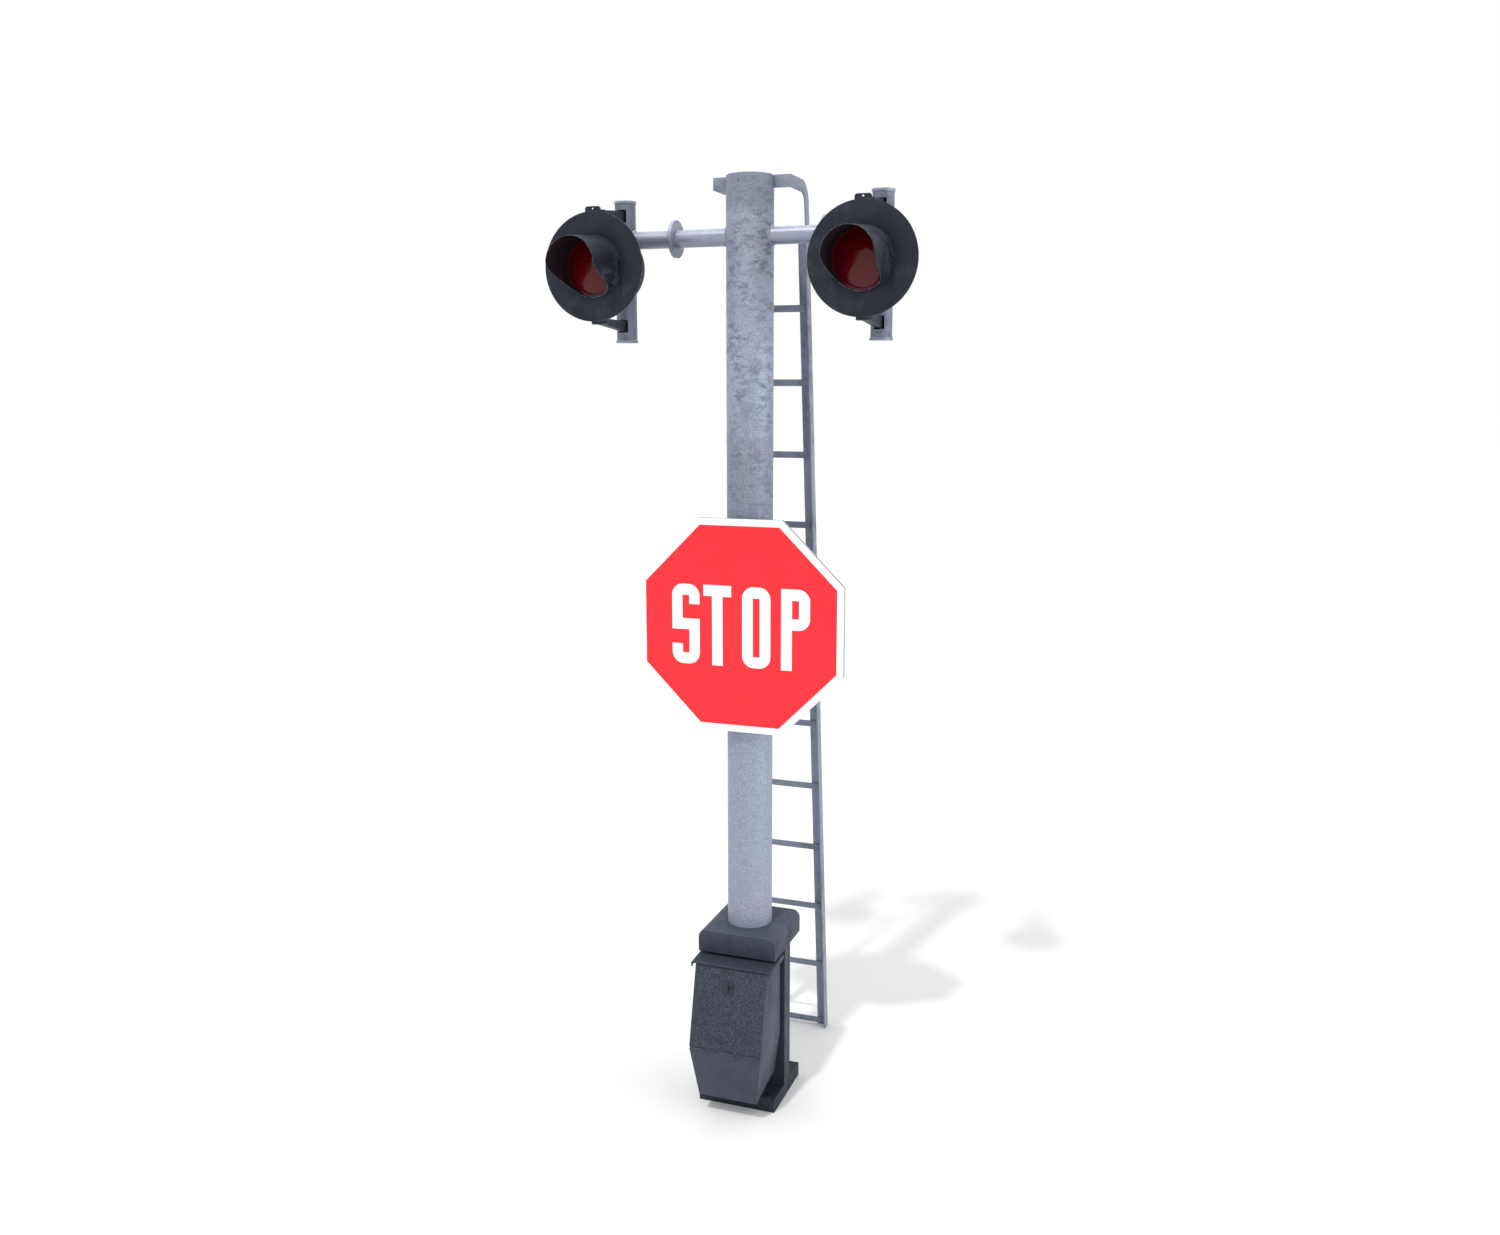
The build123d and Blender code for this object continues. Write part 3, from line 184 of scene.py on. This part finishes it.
# Dust and sheen: a colour on faces that look up, broken up by noise. It starts at the height Above.
# On most coats it is settled dust; on the cross-arm's zinc it is a painted highlight.
dust_and_sheen, dust_and_sheen_in, dust_and_sheen_out = node_group("dust_and_sheen", {"Amount": 0.3, "Above": 0.0}, {"Mask": "NodeSocketFloat"})
dust_and_sheen_face = place(dust_and_sheen, "ShaderNodeNewGeometry")
dust_and_sheen_axes = place(dust_and_sheen, "ShaderNodeSeparateXYZ")
wire(dust_and_sheen, dust_and_sheen_face, "Normal", dust_and_sheen_axes, 0)
upward = place(dust_and_sheen, "ShaderNodeMapRange", {"interpolation_type": "SMOOTHSTEP"},
               From_Min=0.1, From_Max=0.95)
wire(dust_and_sheen, dust_and_sheen_axes, "Z", upward, "Value")
dust_and_sheen_noise = place(dust_and_sheen, "ShaderNodeTexNoise", Scale=22.0, Detail=6.0, Roughness=0.65)
dust_and_sheen_coordinates = place(dust_and_sheen, "ShaderNodeTexCoord")
wire(dust_and_sheen, dust_and_sheen_coordinates, "Object", dust_and_sheen_noise, "Vector")
dust_and_sheen_range = place(dust_and_sheen, "ShaderNodeMapRange", From_Min=0.3, From_Max=0.65, To_Min=0.55)
wire(dust_and_sheen, dust_and_sheen_noise, "Fac", dust_and_sheen_range, "Value")
dust_and_sheen_product = place(dust_and_sheen, "ShaderNodeMath", {"operation": "MULTIPLY"})
wire(dust_and_sheen, upward, 0, dust_and_sheen_product, 0)
wire(dust_and_sheen, dust_and_sheen_range, 0, dust_and_sheen_product, 1)
dust_and_sheen_place = place(dust_and_sheen, "ShaderNodeSeparateXYZ")
wire(dust_and_sheen, dust_and_sheen_coordinates, "Object", dust_and_sheen_place, 0)
dust_and_sheen_rise = place(dust_and_sheen, "ShaderNodeMath", {"operation": "SUBTRACT"})
wire(dust_and_sheen, dust_and_sheen_place, "Z", dust_and_sheen_rise, 0)
wire(dust_and_sheen, dust_and_sheen_in, "Above", dust_and_sheen_rise, 1)
dust_and_sheen_high = place(dust_and_sheen, "ShaderNodeMapRange", From_Min=0.0, From_Max=0.2)
wire(dust_and_sheen, dust_and_sheen_rise, 0, dust_and_sheen_high, "Value")
dust_and_sheen_raised = place(dust_and_sheen, "ShaderNodeMath", {"operation": "MULTIPLY"})
wire(dust_and_sheen, dust_and_sheen_product, 0, dust_and_sheen_raised, 0)
wire(dust_and_sheen, dust_and_sheen_high, 0, dust_and_sheen_raised, 1)
dust_and_sheen_amount = place(dust_and_sheen, "ShaderNodeMath", {"operation": "MULTIPLY", "use_clamp": True})
wire(dust_and_sheen, dust_and_sheen_raised, 0, dust_and_sheen_amount, 0)
wire(dust_and_sheen, dust_and_sheen_in, "Amount", dust_and_sheen_amount, 1)
wire(dust_and_sheen, dust_and_sheen_amount, 0, dust_and_sheen_out, "Mask")

# Edge marks: 1 on sharp outer edges, 0 on flat faces, broken up by noise.
# Their colour is worn paint on most coats, dark chipped edges on the door, a painted highlight on the lid's
# lip, wear with a painted highlight on the lamp heads, and painted shadow round the lock plate.
edge_wear_and_light, edge_wear_and_light_in, edge_wear_and_light_out = node_group("edge_wear_and_painted_light", {"Width": 0.003, "Amount": 1.0},
                                           {"Mask": "NodeSocketFloat"})
rounded = place(edge_wear_and_light, "ShaderNodeBevel", {"samples": 4})
wire(edge_wear_and_light, edge_wear_and_light_in, "Width", rounded, "Radius")
face_normal = place(edge_wear_and_light, "ShaderNodeNewGeometry")
agreement = place(edge_wear_and_light, "ShaderNodeVectorMath", {"operation": "DOT_PRODUCT"})
wire(edge_wear_and_light, rounded, 0, agreement, 0)
wire(edge_wear_and_light, face_normal, "Normal", agreement, 1)
turn = place(edge_wear_and_light, "ShaderNodeMapRange", From_Min=0.985, From_Max=0.86)
wire(edge_wear_and_light, agreement, "Value", turn, "Value")
edge_noise = place(edge_wear_and_light, "ShaderNodeTexNoise", Scale=70.0, Detail=4.0)
edge_coordinates = place(edge_wear_and_light, "ShaderNodeTexCoord")
wire(edge_wear_and_light, edge_coordinates, "Object", edge_noise, "Vector")
edge_range = place(edge_wear_and_light, "ShaderNodeMapRange", From_Min=0.4, From_Max=0.62)
wire(edge_wear_and_light, edge_noise, "Fac", edge_range, "Value")
edge_product = place(edge_wear_and_light, "ShaderNodeMath", {"operation": "MULTIPLY"})
wire(edge_wear_and_light, turn, 0, edge_product, 0)
wire(edge_wear_and_light, edge_range, 0, edge_product, 1)
edge_mask_amount = place(edge_wear_and_light, "ShaderNodeMath", {"operation": "MULTIPLY", "use_clamp": True})
wire(edge_wear_and_light, edge_product, 0, edge_mask_amount, 0)
wire(edge_wear_and_light, edge_wear_and_light_in, "Amount", edge_mask_amount, 1)
wire(edge_wear_and_light, edge_mask_amount, 0, edge_wear_and_light_out, "Mask")

# Grain: a height of fine pits and bumps, for Bump, and the light and dark flecks that they make.
# A Mix node's numbers go in at sockets 2 and 3.
MIX_NUMBER_A = 2
MIX_NUMBER_B = 3
grain, grain_in, grain_out = node_group("grain", {"Grain Scale": 400.0, "Coarse": 0.3, "Contrast": 0.1},
                                        {"Height": "NodeSocketFloat", "Flecks": "NodeSocketFloat"})
grain_coordinates = place(grain, "ShaderNodeTexCoord")
fine = place(grain, "ShaderNodeTexNoise", Detail=3.0, Roughness=0.7)
wire(grain, grain_coordinates, "Object", fine, "Vector")
wire(grain, grain_in, "Grain Scale", fine, "Scale")
coarse = place(grain, "ShaderNodeTexNoise", Scale=25.0, Detail=4.0)
wire(grain, grain_coordinates, "Object", coarse, "Vector")
grain_mix = place(grain, "ShaderNodeMix", {"data_type": "FLOAT"})
wire(grain, grain_in, "Coarse", grain_mix, 0)
wire(grain, fine, "Fac", grain_mix, MIX_NUMBER_A)
wire(grain, coarse, "Fac", grain_mix, MIX_NUMBER_B)
wire(grain, grain_mix, 0, grain_out, "Height")
fleck_range = place(grain, "ShaderNodeMapRange", From_Min=0.34, From_Max=0.66, To_Min=-1.0)
wire(grain, fine, "Fac", fleck_range, "Value")
fleck_sum = place(grain, "ShaderNodeMath", {"operation": "MULTIPLY_ADD"})
fleck_sum.inputs[2].default_value = 1.0
wire(grain, fleck_range, 0, fleck_sum, 0)
wire(grain, grain_in, "Contrast", fleck_sum, 1)
wire(grain, fleck_sum, 0, grain_out, "Flecks")

# Tide: a ragged change of tone with height, none at Start and full at End.
tide, tide_in, tide_out = node_group("tide", {"Start": 0.0, "End": 1.0, "Ragged": 0.1, "Amount": 1.0},
                                     {"Mask": "NodeSocketFloat"})
tide_coordinates = place(tide, "ShaderNodeTexCoord")
tide_place = place(tide, "ShaderNodeSeparateXYZ")
wire(tide, tide_coordinates, "Object", tide_place, 0)
tide_noise = place(tide, "ShaderNodeTexNoise", Scale=17.0, Detail=7.0, Roughness=0.7)
wire(tide, tide_coordinates, "Object", tide_noise, "Vector")
tide_centred = place(tide, "ShaderNodeMath", {"operation": "SUBTRACT"})
tide_centred.inputs[1].default_value = 0.5
wire(tide, tide_noise, "Fac", tide_centred, 0)
tide_height = place(tide, "ShaderNodeMath", {"operation": "MULTIPLY_ADD"})
wire(tide, tide_centred, 0, tide_height, 0)
wire(tide, tide_in, "Ragged", tide_height, 1)
wire(tide, tide_place, "Z", tide_height, 2)
tide_range = place(tide, "ShaderNodeMapRange", {"interpolation_type": "SMOOTHSTEP"})
wire(tide, tide_height, 0, tide_range, "Value")
wire(tide, tide_in, "Start", tide_range, "From Min")
wire(tide, tide_in, "End", tide_range, "From Max")
tide_amount = place(tide, "ShaderNodeMath", {"operation": "MULTIPLY", "use_clamp": True})
wire(tide, tide_range, 0, tide_amount, 0)
wire(tide, tide_in, "Amount", tide_amount, 1)
wire(tide, tide_amount, 0, tide_out, "Mask")


# A Mix node's colours go in at sockets 6 and 7, and come out at socket 2.
MIX_COLOUR_A = 6
MIX_COLOUR_B = 7
MIX_COLOUR = 2


def mixed(tree, source, source_socket, colour, mask):
    """Lays a colour over another where a group's mask says, and gives the mixing node."""
    mix = place(tree, "ShaderNodeMix", {"data_type": "RGBA"})
    mix.inputs[MIX_COLOUR_B].default_value = (*colour, 1)
    wire(tree, source, source_socket, mix, MIX_COLOUR_A)
    wire(tree, mask, "Mask", mix, 0)
    return mix


COAT_GLOSS = 0.06
PATCH_DULLNESS = 0.08
RELIEF_DEPTH = 0.001


def painted(name, colour, patch_colour, patch_scale, edge_colour, edge_width, rough, bump,
            grain_scale=400.0, metallic=0.0, specular=0.4, low=0.42, high=0.62, stretch=1.0, seed=0.0,
            speckle=0.12, edge_amount=1.0, dust_and_sheen_colour=(0.2, 0.22, 0.26), dust_and_sheen_amount=0.0, dust_and_sheen_above=-1.0,
            tides=()):
    """A coat: flecks, patches of a second colour, dust and painted highlight on faces that look up, worn,
    lit and shaded edges, and a grained skin.

    Each tide is (colour, start height, full height, raggedness, amount); some tides are painted shade or a
    painted reflection.
    """
    material = bpy.data.materials.new(name)
    material.use_nodes = True
    tree = material.node_tree
    shader = tree.nodes["Principled BSDF"]
    skin = place(tree, "ShaderNodeGroup", {"node_tree": grain}, Grain_Scale=grain_scale, Contrast=speckle)
    patches = place(tree, "ShaderNodeGroup", {"node_tree": mottle}, Patch_Scale=patch_scale, Stretch=stretch,
                    Low=low, High=high, Seed=seed)
    dust_and_sheen_mask = place(tree, "ShaderNodeGroup", {"node_tree": dust_and_sheen}, Amount=dust_and_sheen_amount, Above=dust_and_sheen_above)
    edges = place(tree, "ShaderNodeGroup", {"node_tree": edge_wear_and_light}, Width=edge_width, Amount=edge_amount)
    coat = place(tree, "ShaderNodeMix", {"data_type": "RGBA"})
    coat.inputs[MIX_COLOUR_A].default_value = (*colour, 1)
    coat.inputs[MIX_COLOUR_B].default_value = (*patch_colour, 1)
    wire(tree, patches, "Mask", coat, 0)
    for tide_colour, start, end, ragged, amount in tides:
        band = place(tree, "ShaderNodeGroup", {"node_tree": tide}, Start=start, End=end, Ragged=ragged,
                     Amount=amount)
        coat = mixed(tree, coat, MIX_COLOUR, tide_colour, band)
    dust_and_sheen_coat = mixed(tree, coat, MIX_COLOUR, dust_and_sheen_colour, dust_and_sheen_mask)
    flecked = place(tree, "ShaderNodeVectorMath", {"operation": "SCALE"})
    wire(tree, dust_and_sheen_coat, MIX_COLOUR, flecked, 0)
    wire(tree, skin, "Flecks", flecked, "Scale")
    edge_marked = mixed(tree, flecked, 0, edge_colour, edges)
    wire(tree, edge_marked, MIX_COLOUR, shader, "Base Color")
    gloss = place(tree, "ShaderNodeMapRange", To_Min=rough - COAT_GLOSS, To_Max=rough + PATCH_DULLNESS)
    wire(tree, patches, "Mask", gloss, "Value")
    wire(tree, gloss, 0, shader, "Roughness")
    shader.inputs["Metallic"].default_value = metallic
    shader.inputs["Specular IOR Level"].default_value = specular
    relief = place(tree, "ShaderNodeBump", Strength=bump, Distance=RELIEF_DEPTH)
    wire(tree, skin, "Height", relief, "Height")
    wire(tree, relief, 0, shader, "Normal")
    return material


def dress(material, *names):
    """Gives a material to nodes that keep their own mesh."""
    for name in names:
        nodes[name].material_slots[0].material = material


bodies = {part: body for body, parts in frame["record"]["behaviour"]["bodies"].items() for part in parts}


MERGE_DISTANCE = 0.00001
FLAT_ANGLE = math.radians(0.6)
EDGE_ANGLE = math.radians(38)
EDGE_STEPS = 2
SMOOTH_ANGLE = math.radians(35)


def soften(node, width, material):
    """A copy of a node with its sharp edges rounded over, which stands for it."""
    piece = bpy.data.objects.new(f"{node}_finished", nodes[node].data.copy())
    bpy.context.scene.collection.objects.link(piece)
    bpy.ops.object.select_all(action="DESELECT")
    piece.select_set(True)
    bpy.context.view_layer.objects.active = piece
    bpy.ops.object.mode_set(mode="EDIT")
    bpy.ops.mesh.select_all(action="SELECT")
    bpy.ops.mesh.remove_doubles(threshold=MERGE_DISTANCE)
    bpy.ops.mesh.dissolve_limited(angle_limit=FLAT_ANGLE)
    bpy.ops.object.mode_set(mode="OBJECT")
    edge = piece.modifiers.new("edge", "BEVEL")
    edge.width = width
    edge.segments = EDGE_STEPS
    edge.limit_method = "ANGLE"
    edge.angle_limit = EDGE_ANGLE
    bpy.ops.object.modifier_apply(modifier=edge.name)
    bpy.ops.object.shade_smooth_by_angle(angle=SMOOTH_ANGLE)
    piece.data.materials.clear()
    piece.data.materials.append(material)
    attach(piece, bodies[node])
    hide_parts(node)
    return piece


# Below the head the paint is a little darker; on the feet near the ground it is much darker, painted shade
# where the cabinet and the web keep the light off.
casting_paint = painted("casting_paint", (0.038, 0.046, 0.069), (0.025, 0.031, 0.047), 16.0,
                        (0.1, 0.115, 0.15), 0.004, rough=0.62, bump=0.5, grain_scale=200.0, specular=0.22,
                        speckle=0.3, dust_and_sheen_colour=(0.078, 0.099, 0.14), dust_and_sheen_amount=0.45, dust_and_sheen_above=0.3,
                        tides=[((0.014, 0.017, 0.026), 0.775, 0.74, 0.12, 0.25),
                               ((0.014, 0.018, 0.027), 0.25, 0.08, 0.1, 0.85)])
CASTING_EDGE = 0.0025
for half in ("pedestal_front", "pedestal_rear"):
    soften(half, CASTING_EDGE, casting_paint)

zinc = painted("zinc", (0.3, 0.32, 0.36), (0.2, 0.21, 0.24), 60.0, (0.5, 0.52, 0.55), 0.001, rough=0.42,
               bump=0.1, metallic=0.8)
dress(zinc, "pedestal_tie_bolts", "pedestal_tie_nuts")


# --- Pole, cross-arm and lamp posts ----------------------------------------------------------
# Hot-dip galvanised steel tube. The zinc has weathered to a pale blue grey with darker
# clouds, wider than they are tall on the pole, and the tubes are joined by fillet welds.

galvanised = painted("galvanised", (0.285, 0.313, 0.4), (0.15, 0.167, 0.22), 20.0, (0.36, 0.39, 0.46),
                     0.002, rough=0.52, bump=0.25, grain_scale=150.0, metallic=0.2, low=0.46, high=0.6,
                     stretch=2.2, speckle=0.24,
                     tides=[((0.16, 0.18, 0.235), 3.79, 3.84, 0.05, 0.6),
                            ((0.15, 0.167, 0.22), 3.15, 2.8, 0.8, 0.62),
                            ((0.275, 0.302, 0.387), 2.3, 1.8, 0.5, 0.8)])
post_zinc = painted("post_zinc", (0.165, 0.182, 0.235), (0.1, 0.111, 0.15), 18.0, (0.3, 0.33, 0.4), 0.002,
                    rough=0.5, bump=0.25, grain_scale=150.0, metallic=0.2, low=0.44, high=0.6,
                    speckle=0.18)
arm_low, arm_high = (corner[2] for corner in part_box("crossarm"))
ARM_RADIUS = (arm_high - arm_low) / 2
ARM_HEIGHT = (arm_high + arm_low) / 2
# The cross-arm's coat is a lighter, glossier copy of the pole's; its faces that look up take a pale blue
# white, a painted highlight on the tube, collars, caps and welds, and below the arm's middle height it is
# darker, painted shade on the underside.
arm_zinc = painted("arm_zinc", (0.31, 0.335, 0.42), (0.19, 0.21, 0.27), 11.0, (0.42, 0.45, 0.53), 0.002,
                   rough=0.36, bump=0.2, grain_scale=170.0, metallic=0.45, low=0.46, high=0.62,
                   speckle=0.1, dust_and_sheen_colour=(0.7, 0.74, 0.9), dust_and_sheen_amount=0.75,
                   tides=[((0.16, 0.175, 0.225), ARM_HEIGHT, ARM_HEIGHT - ARM_RADIUS, 0.02, 0.6)])
dress(galvanised, "pole", "pole_cap")
dress(post_zinc, "lamp_post_left", "lamp_post_right")
dress(arm_zinc, "crossarm", "crossarm_collar_left", "crossarm_collar_right", "lamp_post_caps")
dress(zinc, "lamp_tie_rods", "lamp_pivot_pins")

BEAD = 0.0055
BEAD_SIDES = 10
RIPPLES = 46
STEPS_PER_RIPPLE = 6
RIPPLE_SWELL = 0.035
SLOW_WAVES = 5
SLOW_SWELL = 0.02


def weld_bead(name, centre_x, tube_radius, side):
    """The rippled bead round the cross-arm where it meets an upright tube, on one side of it.

    A plain ring round the arm is bent to lie on the tube's round face, and swells a little
    with each ripple.
    """
    bpy.ops.object.select_all(action="DESELECT")
    bpy.ops.mesh.primitive_torus_add(major_segments=STEPS_PER_RIPPLE * RIPPLES, minor_segments=BEAD_SIDES,
                                     major_radius=ARM_RADIUS, minor_radius=BEAD,
                                     rotation=(0, math.pi / 2, 0))
    bpy.ops.object.transform_apply(location=False, rotation=True, scale=False)
    bead = bpy.context.object
    bead.name = name
    for vertex in bead.data.vertices:
        across, up = vertex.co.y, vertex.co.z
        turn = math.atan2(up, across)
        swell = 1 + RIPPLE_SWELL * math.cos(RIPPLES * turn) + SLOW_SWELL * math.sin(SLOW_WAVES * turn)
        out = tube_radius * math.cos(math.asin(across / tube_radius))
        vertex.co = (centre_x + side * out + vertex.co.x * swell, across * swell, ARM_HEIGHT + up * swell)
    bpy.ops.object.shade_smooth()
    bead.data.materials.append(arm_zinc)
    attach(bead, "root")


pole_low, pole_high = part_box("pole")
pole_radius = (pole_high[0] - pole_low[0]) / 2
for word, side in (("left", -1), ("right", 1)):
    weld_bead(f"weld_pole_{word}", 0.0, pole_radius, side)
    post_low, post_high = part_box(f"lamp_post_{word}")
    post_middle = (post_low[0] + post_high[0]) / 2
    post_radius = (post_high[0] - post_low[0]) / 2
    weld_bead(f"weld_post_{word}", post_middle, post_radius, -side)


# --- Sign ------------------------------------------------------------------------------------
# A folded aluminium plate covered with white and red reflective sheet, on two channels
# that are held to the pole by bent bolts.

bare_aluminium = painted("bare_aluminium", (0.4, 0.41, 0.43), (0.3, 0.31, 0.33), 20.0, (0.55, 0.55, 0.57),
                         0.001, rough=0.4, bump=0.1, metallic=0.9)
red_sheet = painted("red_sheet", (0.80, 0.02, 0.03), (0.77, 0.022, 0.034), 8.0, (0.8, 0.02, 0.03), 0.0005,
                    rough=0.5, bump=0.03, specular=0.3, speckle=0.02, edge_amount=0.0)
white_sheet = painted("white_sheet", (0.84, 0.84, 0.84), (0.8, 0.8, 0.8), 8.0, (0.84, 0.84, 0.84), 0.0005,
                      rough=0.5, bump=0.03, specular=0.3, speckle=0.02, edge_amount=0.0)
PLATE_EDGE = 0.0008
soften("sign_plate", PLATE_EDGE, bare_aluminium)
dress(white_sheet, "sign_white_sheet", "sign_legend")
dress(red_sheet, "sign_red_sheet")
dress(post_zinc, "sign_rails", "sign_saddles")
dress(zinc, "sign_ubolts", "sign_ubolt_nuts")


# --- Lamps -----------------------------------------------------------------------------------
# Pressed steel heads painted near black, with a hood over a deep red domed glass.

# The light edges on the lamp heads are partly worn paint and partly a painted highlight on the discs' rims.
lamp_paint = painted("lamp_paint", (0.0155, 0.0185, 0.028), (0.029, 0.035, 0.048), 17.0,
                     (0.2, 0.22, 0.26), 0.003, rough=0.55, bump=0.2, grain_scale=300.0, specular=0.16,
                     speckle=0.28, dust_and_sheen_colour=(0.05, 0.062, 0.085), dust_and_sheen_amount=0.5)
hood_paint = painted("hood_paint", (0.0085, 0.0105, 0.017), (0.032, 0.038, 0.05), 15.0,
                     (0.22, 0.24, 0.28), 0.003, rough=0.5, bump=0.15, grain_scale=300.0, specular=0.18,
                     speckle=0.15, low=0.44, high=0.56, seed=3.0, dust_and_sheen_colour=(0.05, 0.062, 0.085),
                     dust_and_sheen_amount=0.5)
hood_inside = painted("hood_inside", (0.018, 0.0105, 0.0145), (0.012, 0.008, 0.011), 20.0,
                      (0.02, 0.02, 0.025), 0.001, rough=0.8, bump=0.1, specular=0.05)
lens_low, lens_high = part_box("lamp_lens_right")
lens_middle = (lens_low[2] + lens_high[2]) / 2
# Below its middle the lens turns paler: a painted reflection of the floor, with a thin film of dust.
red_glass = painted("red_glass", (0.1, 0.0015, 0.005), (0.1, 0.0015, 0.005), 12.0, (0.1, 0.002, 0.005),
                    0.0005, rough=0.2, bump=0.0, specular=0.3, speckle=0.0, edge_amount=0.0,
                    tides=[((0.085, 0.009, 0.016), lens_middle, lens_low[2], 0.05, 0.5)])
black_rubber = painted("black_rubber", (0.012, 0.012, 0.013), (0.02, 0.02, 0.02), 30.0,
                       (0.03, 0.03, 0.03), 0.001, rough=0.8, bump=0.2)
mirror = painted("mirror", (0.8, 0.8, 0.8), (0.7, 0.7, 0.7), 10.0, (0.9, 0.9, 0.9), 0.0005, rough=0.12,
                 bump=0.02, metallic=1.0, speckle=0.0)
clear_glass = painted("clear_glass", (0.9, 0.9, 0.88), (0.85, 0.85, 0.83), 30.0, (0.9, 0.9, 0.88), 0.0005,
                      rough=0.1, bump=0.0, speckle=0.0)
ceramic = painted("ceramic", (0.7, 0.67, 0.6), (0.6, 0.57, 0.5), 30.0, (0.75, 0.72, 0.66), 0.001,
                  rough=0.3, bump=0.05)
BRACKET_EDGE = 0.0015
BACKGROUND_EDGE = 0.001
HOOD_EDGE = 0.0006
INWARD = -0.5
for side in ("left", "right"):
    dress(lamp_paint, f"lamp_housing_{side}")
    soften(f"lamp_brackets_{side}", BRACKET_EDGE, lamp_paint)
    soften(f"lamp_background_{side}", BACKGROUND_EDGE, lamp_paint)
    hood = soften(f"lamp_hood_{side}", HOOD_EDGE, hood_paint)
    hood.data.materials.append(hood_inside)
    low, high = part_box(f"lamp_lens_{side}")
    axis = (Vector(low) + Vector(high)) / 2
    for face in hood.data.polygons:
        outward = face.center - axis
        outward.y = 0
        face.material_index = 1 if face.normal.dot(outward.normalized()) < INWARD else 0
    dress(red_glass, f"lamp_lens_{side}")
    dress(black_rubber, f"lamp_lens_seal_{side}")
    dress(mirror, f"lamp_reflector_{side}")
    dress(clear_glass, f"lamp_bulb_{side}")
    dress(ceramic, f"lamp_socket_{side}")
    dress(zinc, f"lamp_hinge_pin_{side}")


# --- Ladder ----------------------------------------------------------------------------------
# Galvanised steel: two stiles that hook over to the pole at its top, with flat rungs
# between them and hangers to the pole.

ladder_zinc = painted("ladder_zinc", (0.225, 0.25, 0.32), (0.145, 0.16, 0.215), 12.0, (0.32, 0.35, 0.42),
                      0.002, rough=0.55, bump=0.25, grain_scale=200.0, metallic=0.2, speckle=0.12)
LADDER_EDGE = 0.0008
for piece in ("ladder_stile_left", "ladder_stile_right", "ladder_rungs", "ladder_hangers"):
    soften(piece, LADDER_EDGE, ladder_zinc)


# --- Cabinet ---------------------------------------------------------------------------------
# Folded sheet steel with a thick textured paint, a door that leans back and a rain hood.

door_paint = painted("door_paint", (0.034, 0.04, 0.057), (0.027, 0.032, 0.047), 14.0,
                     (0.01, 0.011, 0.016), 0.004, rough=0.6, bump=0.8, grain_scale=170.0, specular=0.25,
                     speckle=0.8)
# The shell's coat is smoother than the door's and lighter: a painted reflection for the brighter sheen along
# the cabinet's sides.
shell_paint = painted("shell_paint", (0.043, 0.051, 0.075), (0.037, 0.044, 0.066), 10.0,
                      (0.1, 0.11, 0.14), 0.002, rough=0.55, bump=0.25, grain_scale=220.0, specular=0.25,
                      speckle=0.22)
# The lock plate's dark edges are painted shadow round its raised rim.
plate_paint = painted("plate_paint", (0.028, 0.033, 0.046), (0.022, 0.026, 0.038), 30.0,
                      (0.01, 0.011, 0.016), 0.004, rough=0.5, bump=0.2, grain_scale=220.0, specular=0.25,
                      speckle=0.2)
# The lid's light edges are a painted highlight along its rounded front lip.
lid_paint = painted("lid_paint", (0.032, 0.039, 0.055), (0.026, 0.032, 0.046), 12.0, (0.11, 0.125, 0.155),
                    0.003, rough=0.55, bump=0.25, grain_scale=220.0, specular=0.2, speckle=0.18)
# The lock is near black so that the key slot reads dark: painted shade in the slot.
lock_metal = painted("lock_metal", (0.01, 0.011, 0.014), (0.008, 0.009, 0.011), 40.0,
                     (0.05, 0.054, 0.065), 0.001, rough=0.5, bump=0.05, metallic=0.3)
plastic = painted("plastic", (0.35, 0.36, 0.35), (0.3, 0.31, 0.3), 30.0, (0.4, 0.41, 0.4), 0.001,
                  rough=0.5, bump=0.05)
SHELL_EDGE = 0.0012
DOOR_EDGE = 0.0015
LID_EDGE = 0.0008
LOCK_PLATE_EDGE = 0.0007
soften("cabinet_shell", SHELL_EDGE, shell_paint)
soften("cabinet_door", DOOR_EDGE, door_paint)
soften("cabinet_rain_hood", LID_EDGE, lid_paint)
soften("cabinet_lock_plate", LOCK_PLATE_EDGE, plate_paint)
dress(lock_metal, "cabinet_lock")
dress(zinc, "cabinet_hinge_pin", "cabinet_spacers", "cabinet_bolts", "terminal_rail")
dress(black_rubber, "cabinet_door_seal", "cable_gland")
dress(plastic, "terminal_blocks")
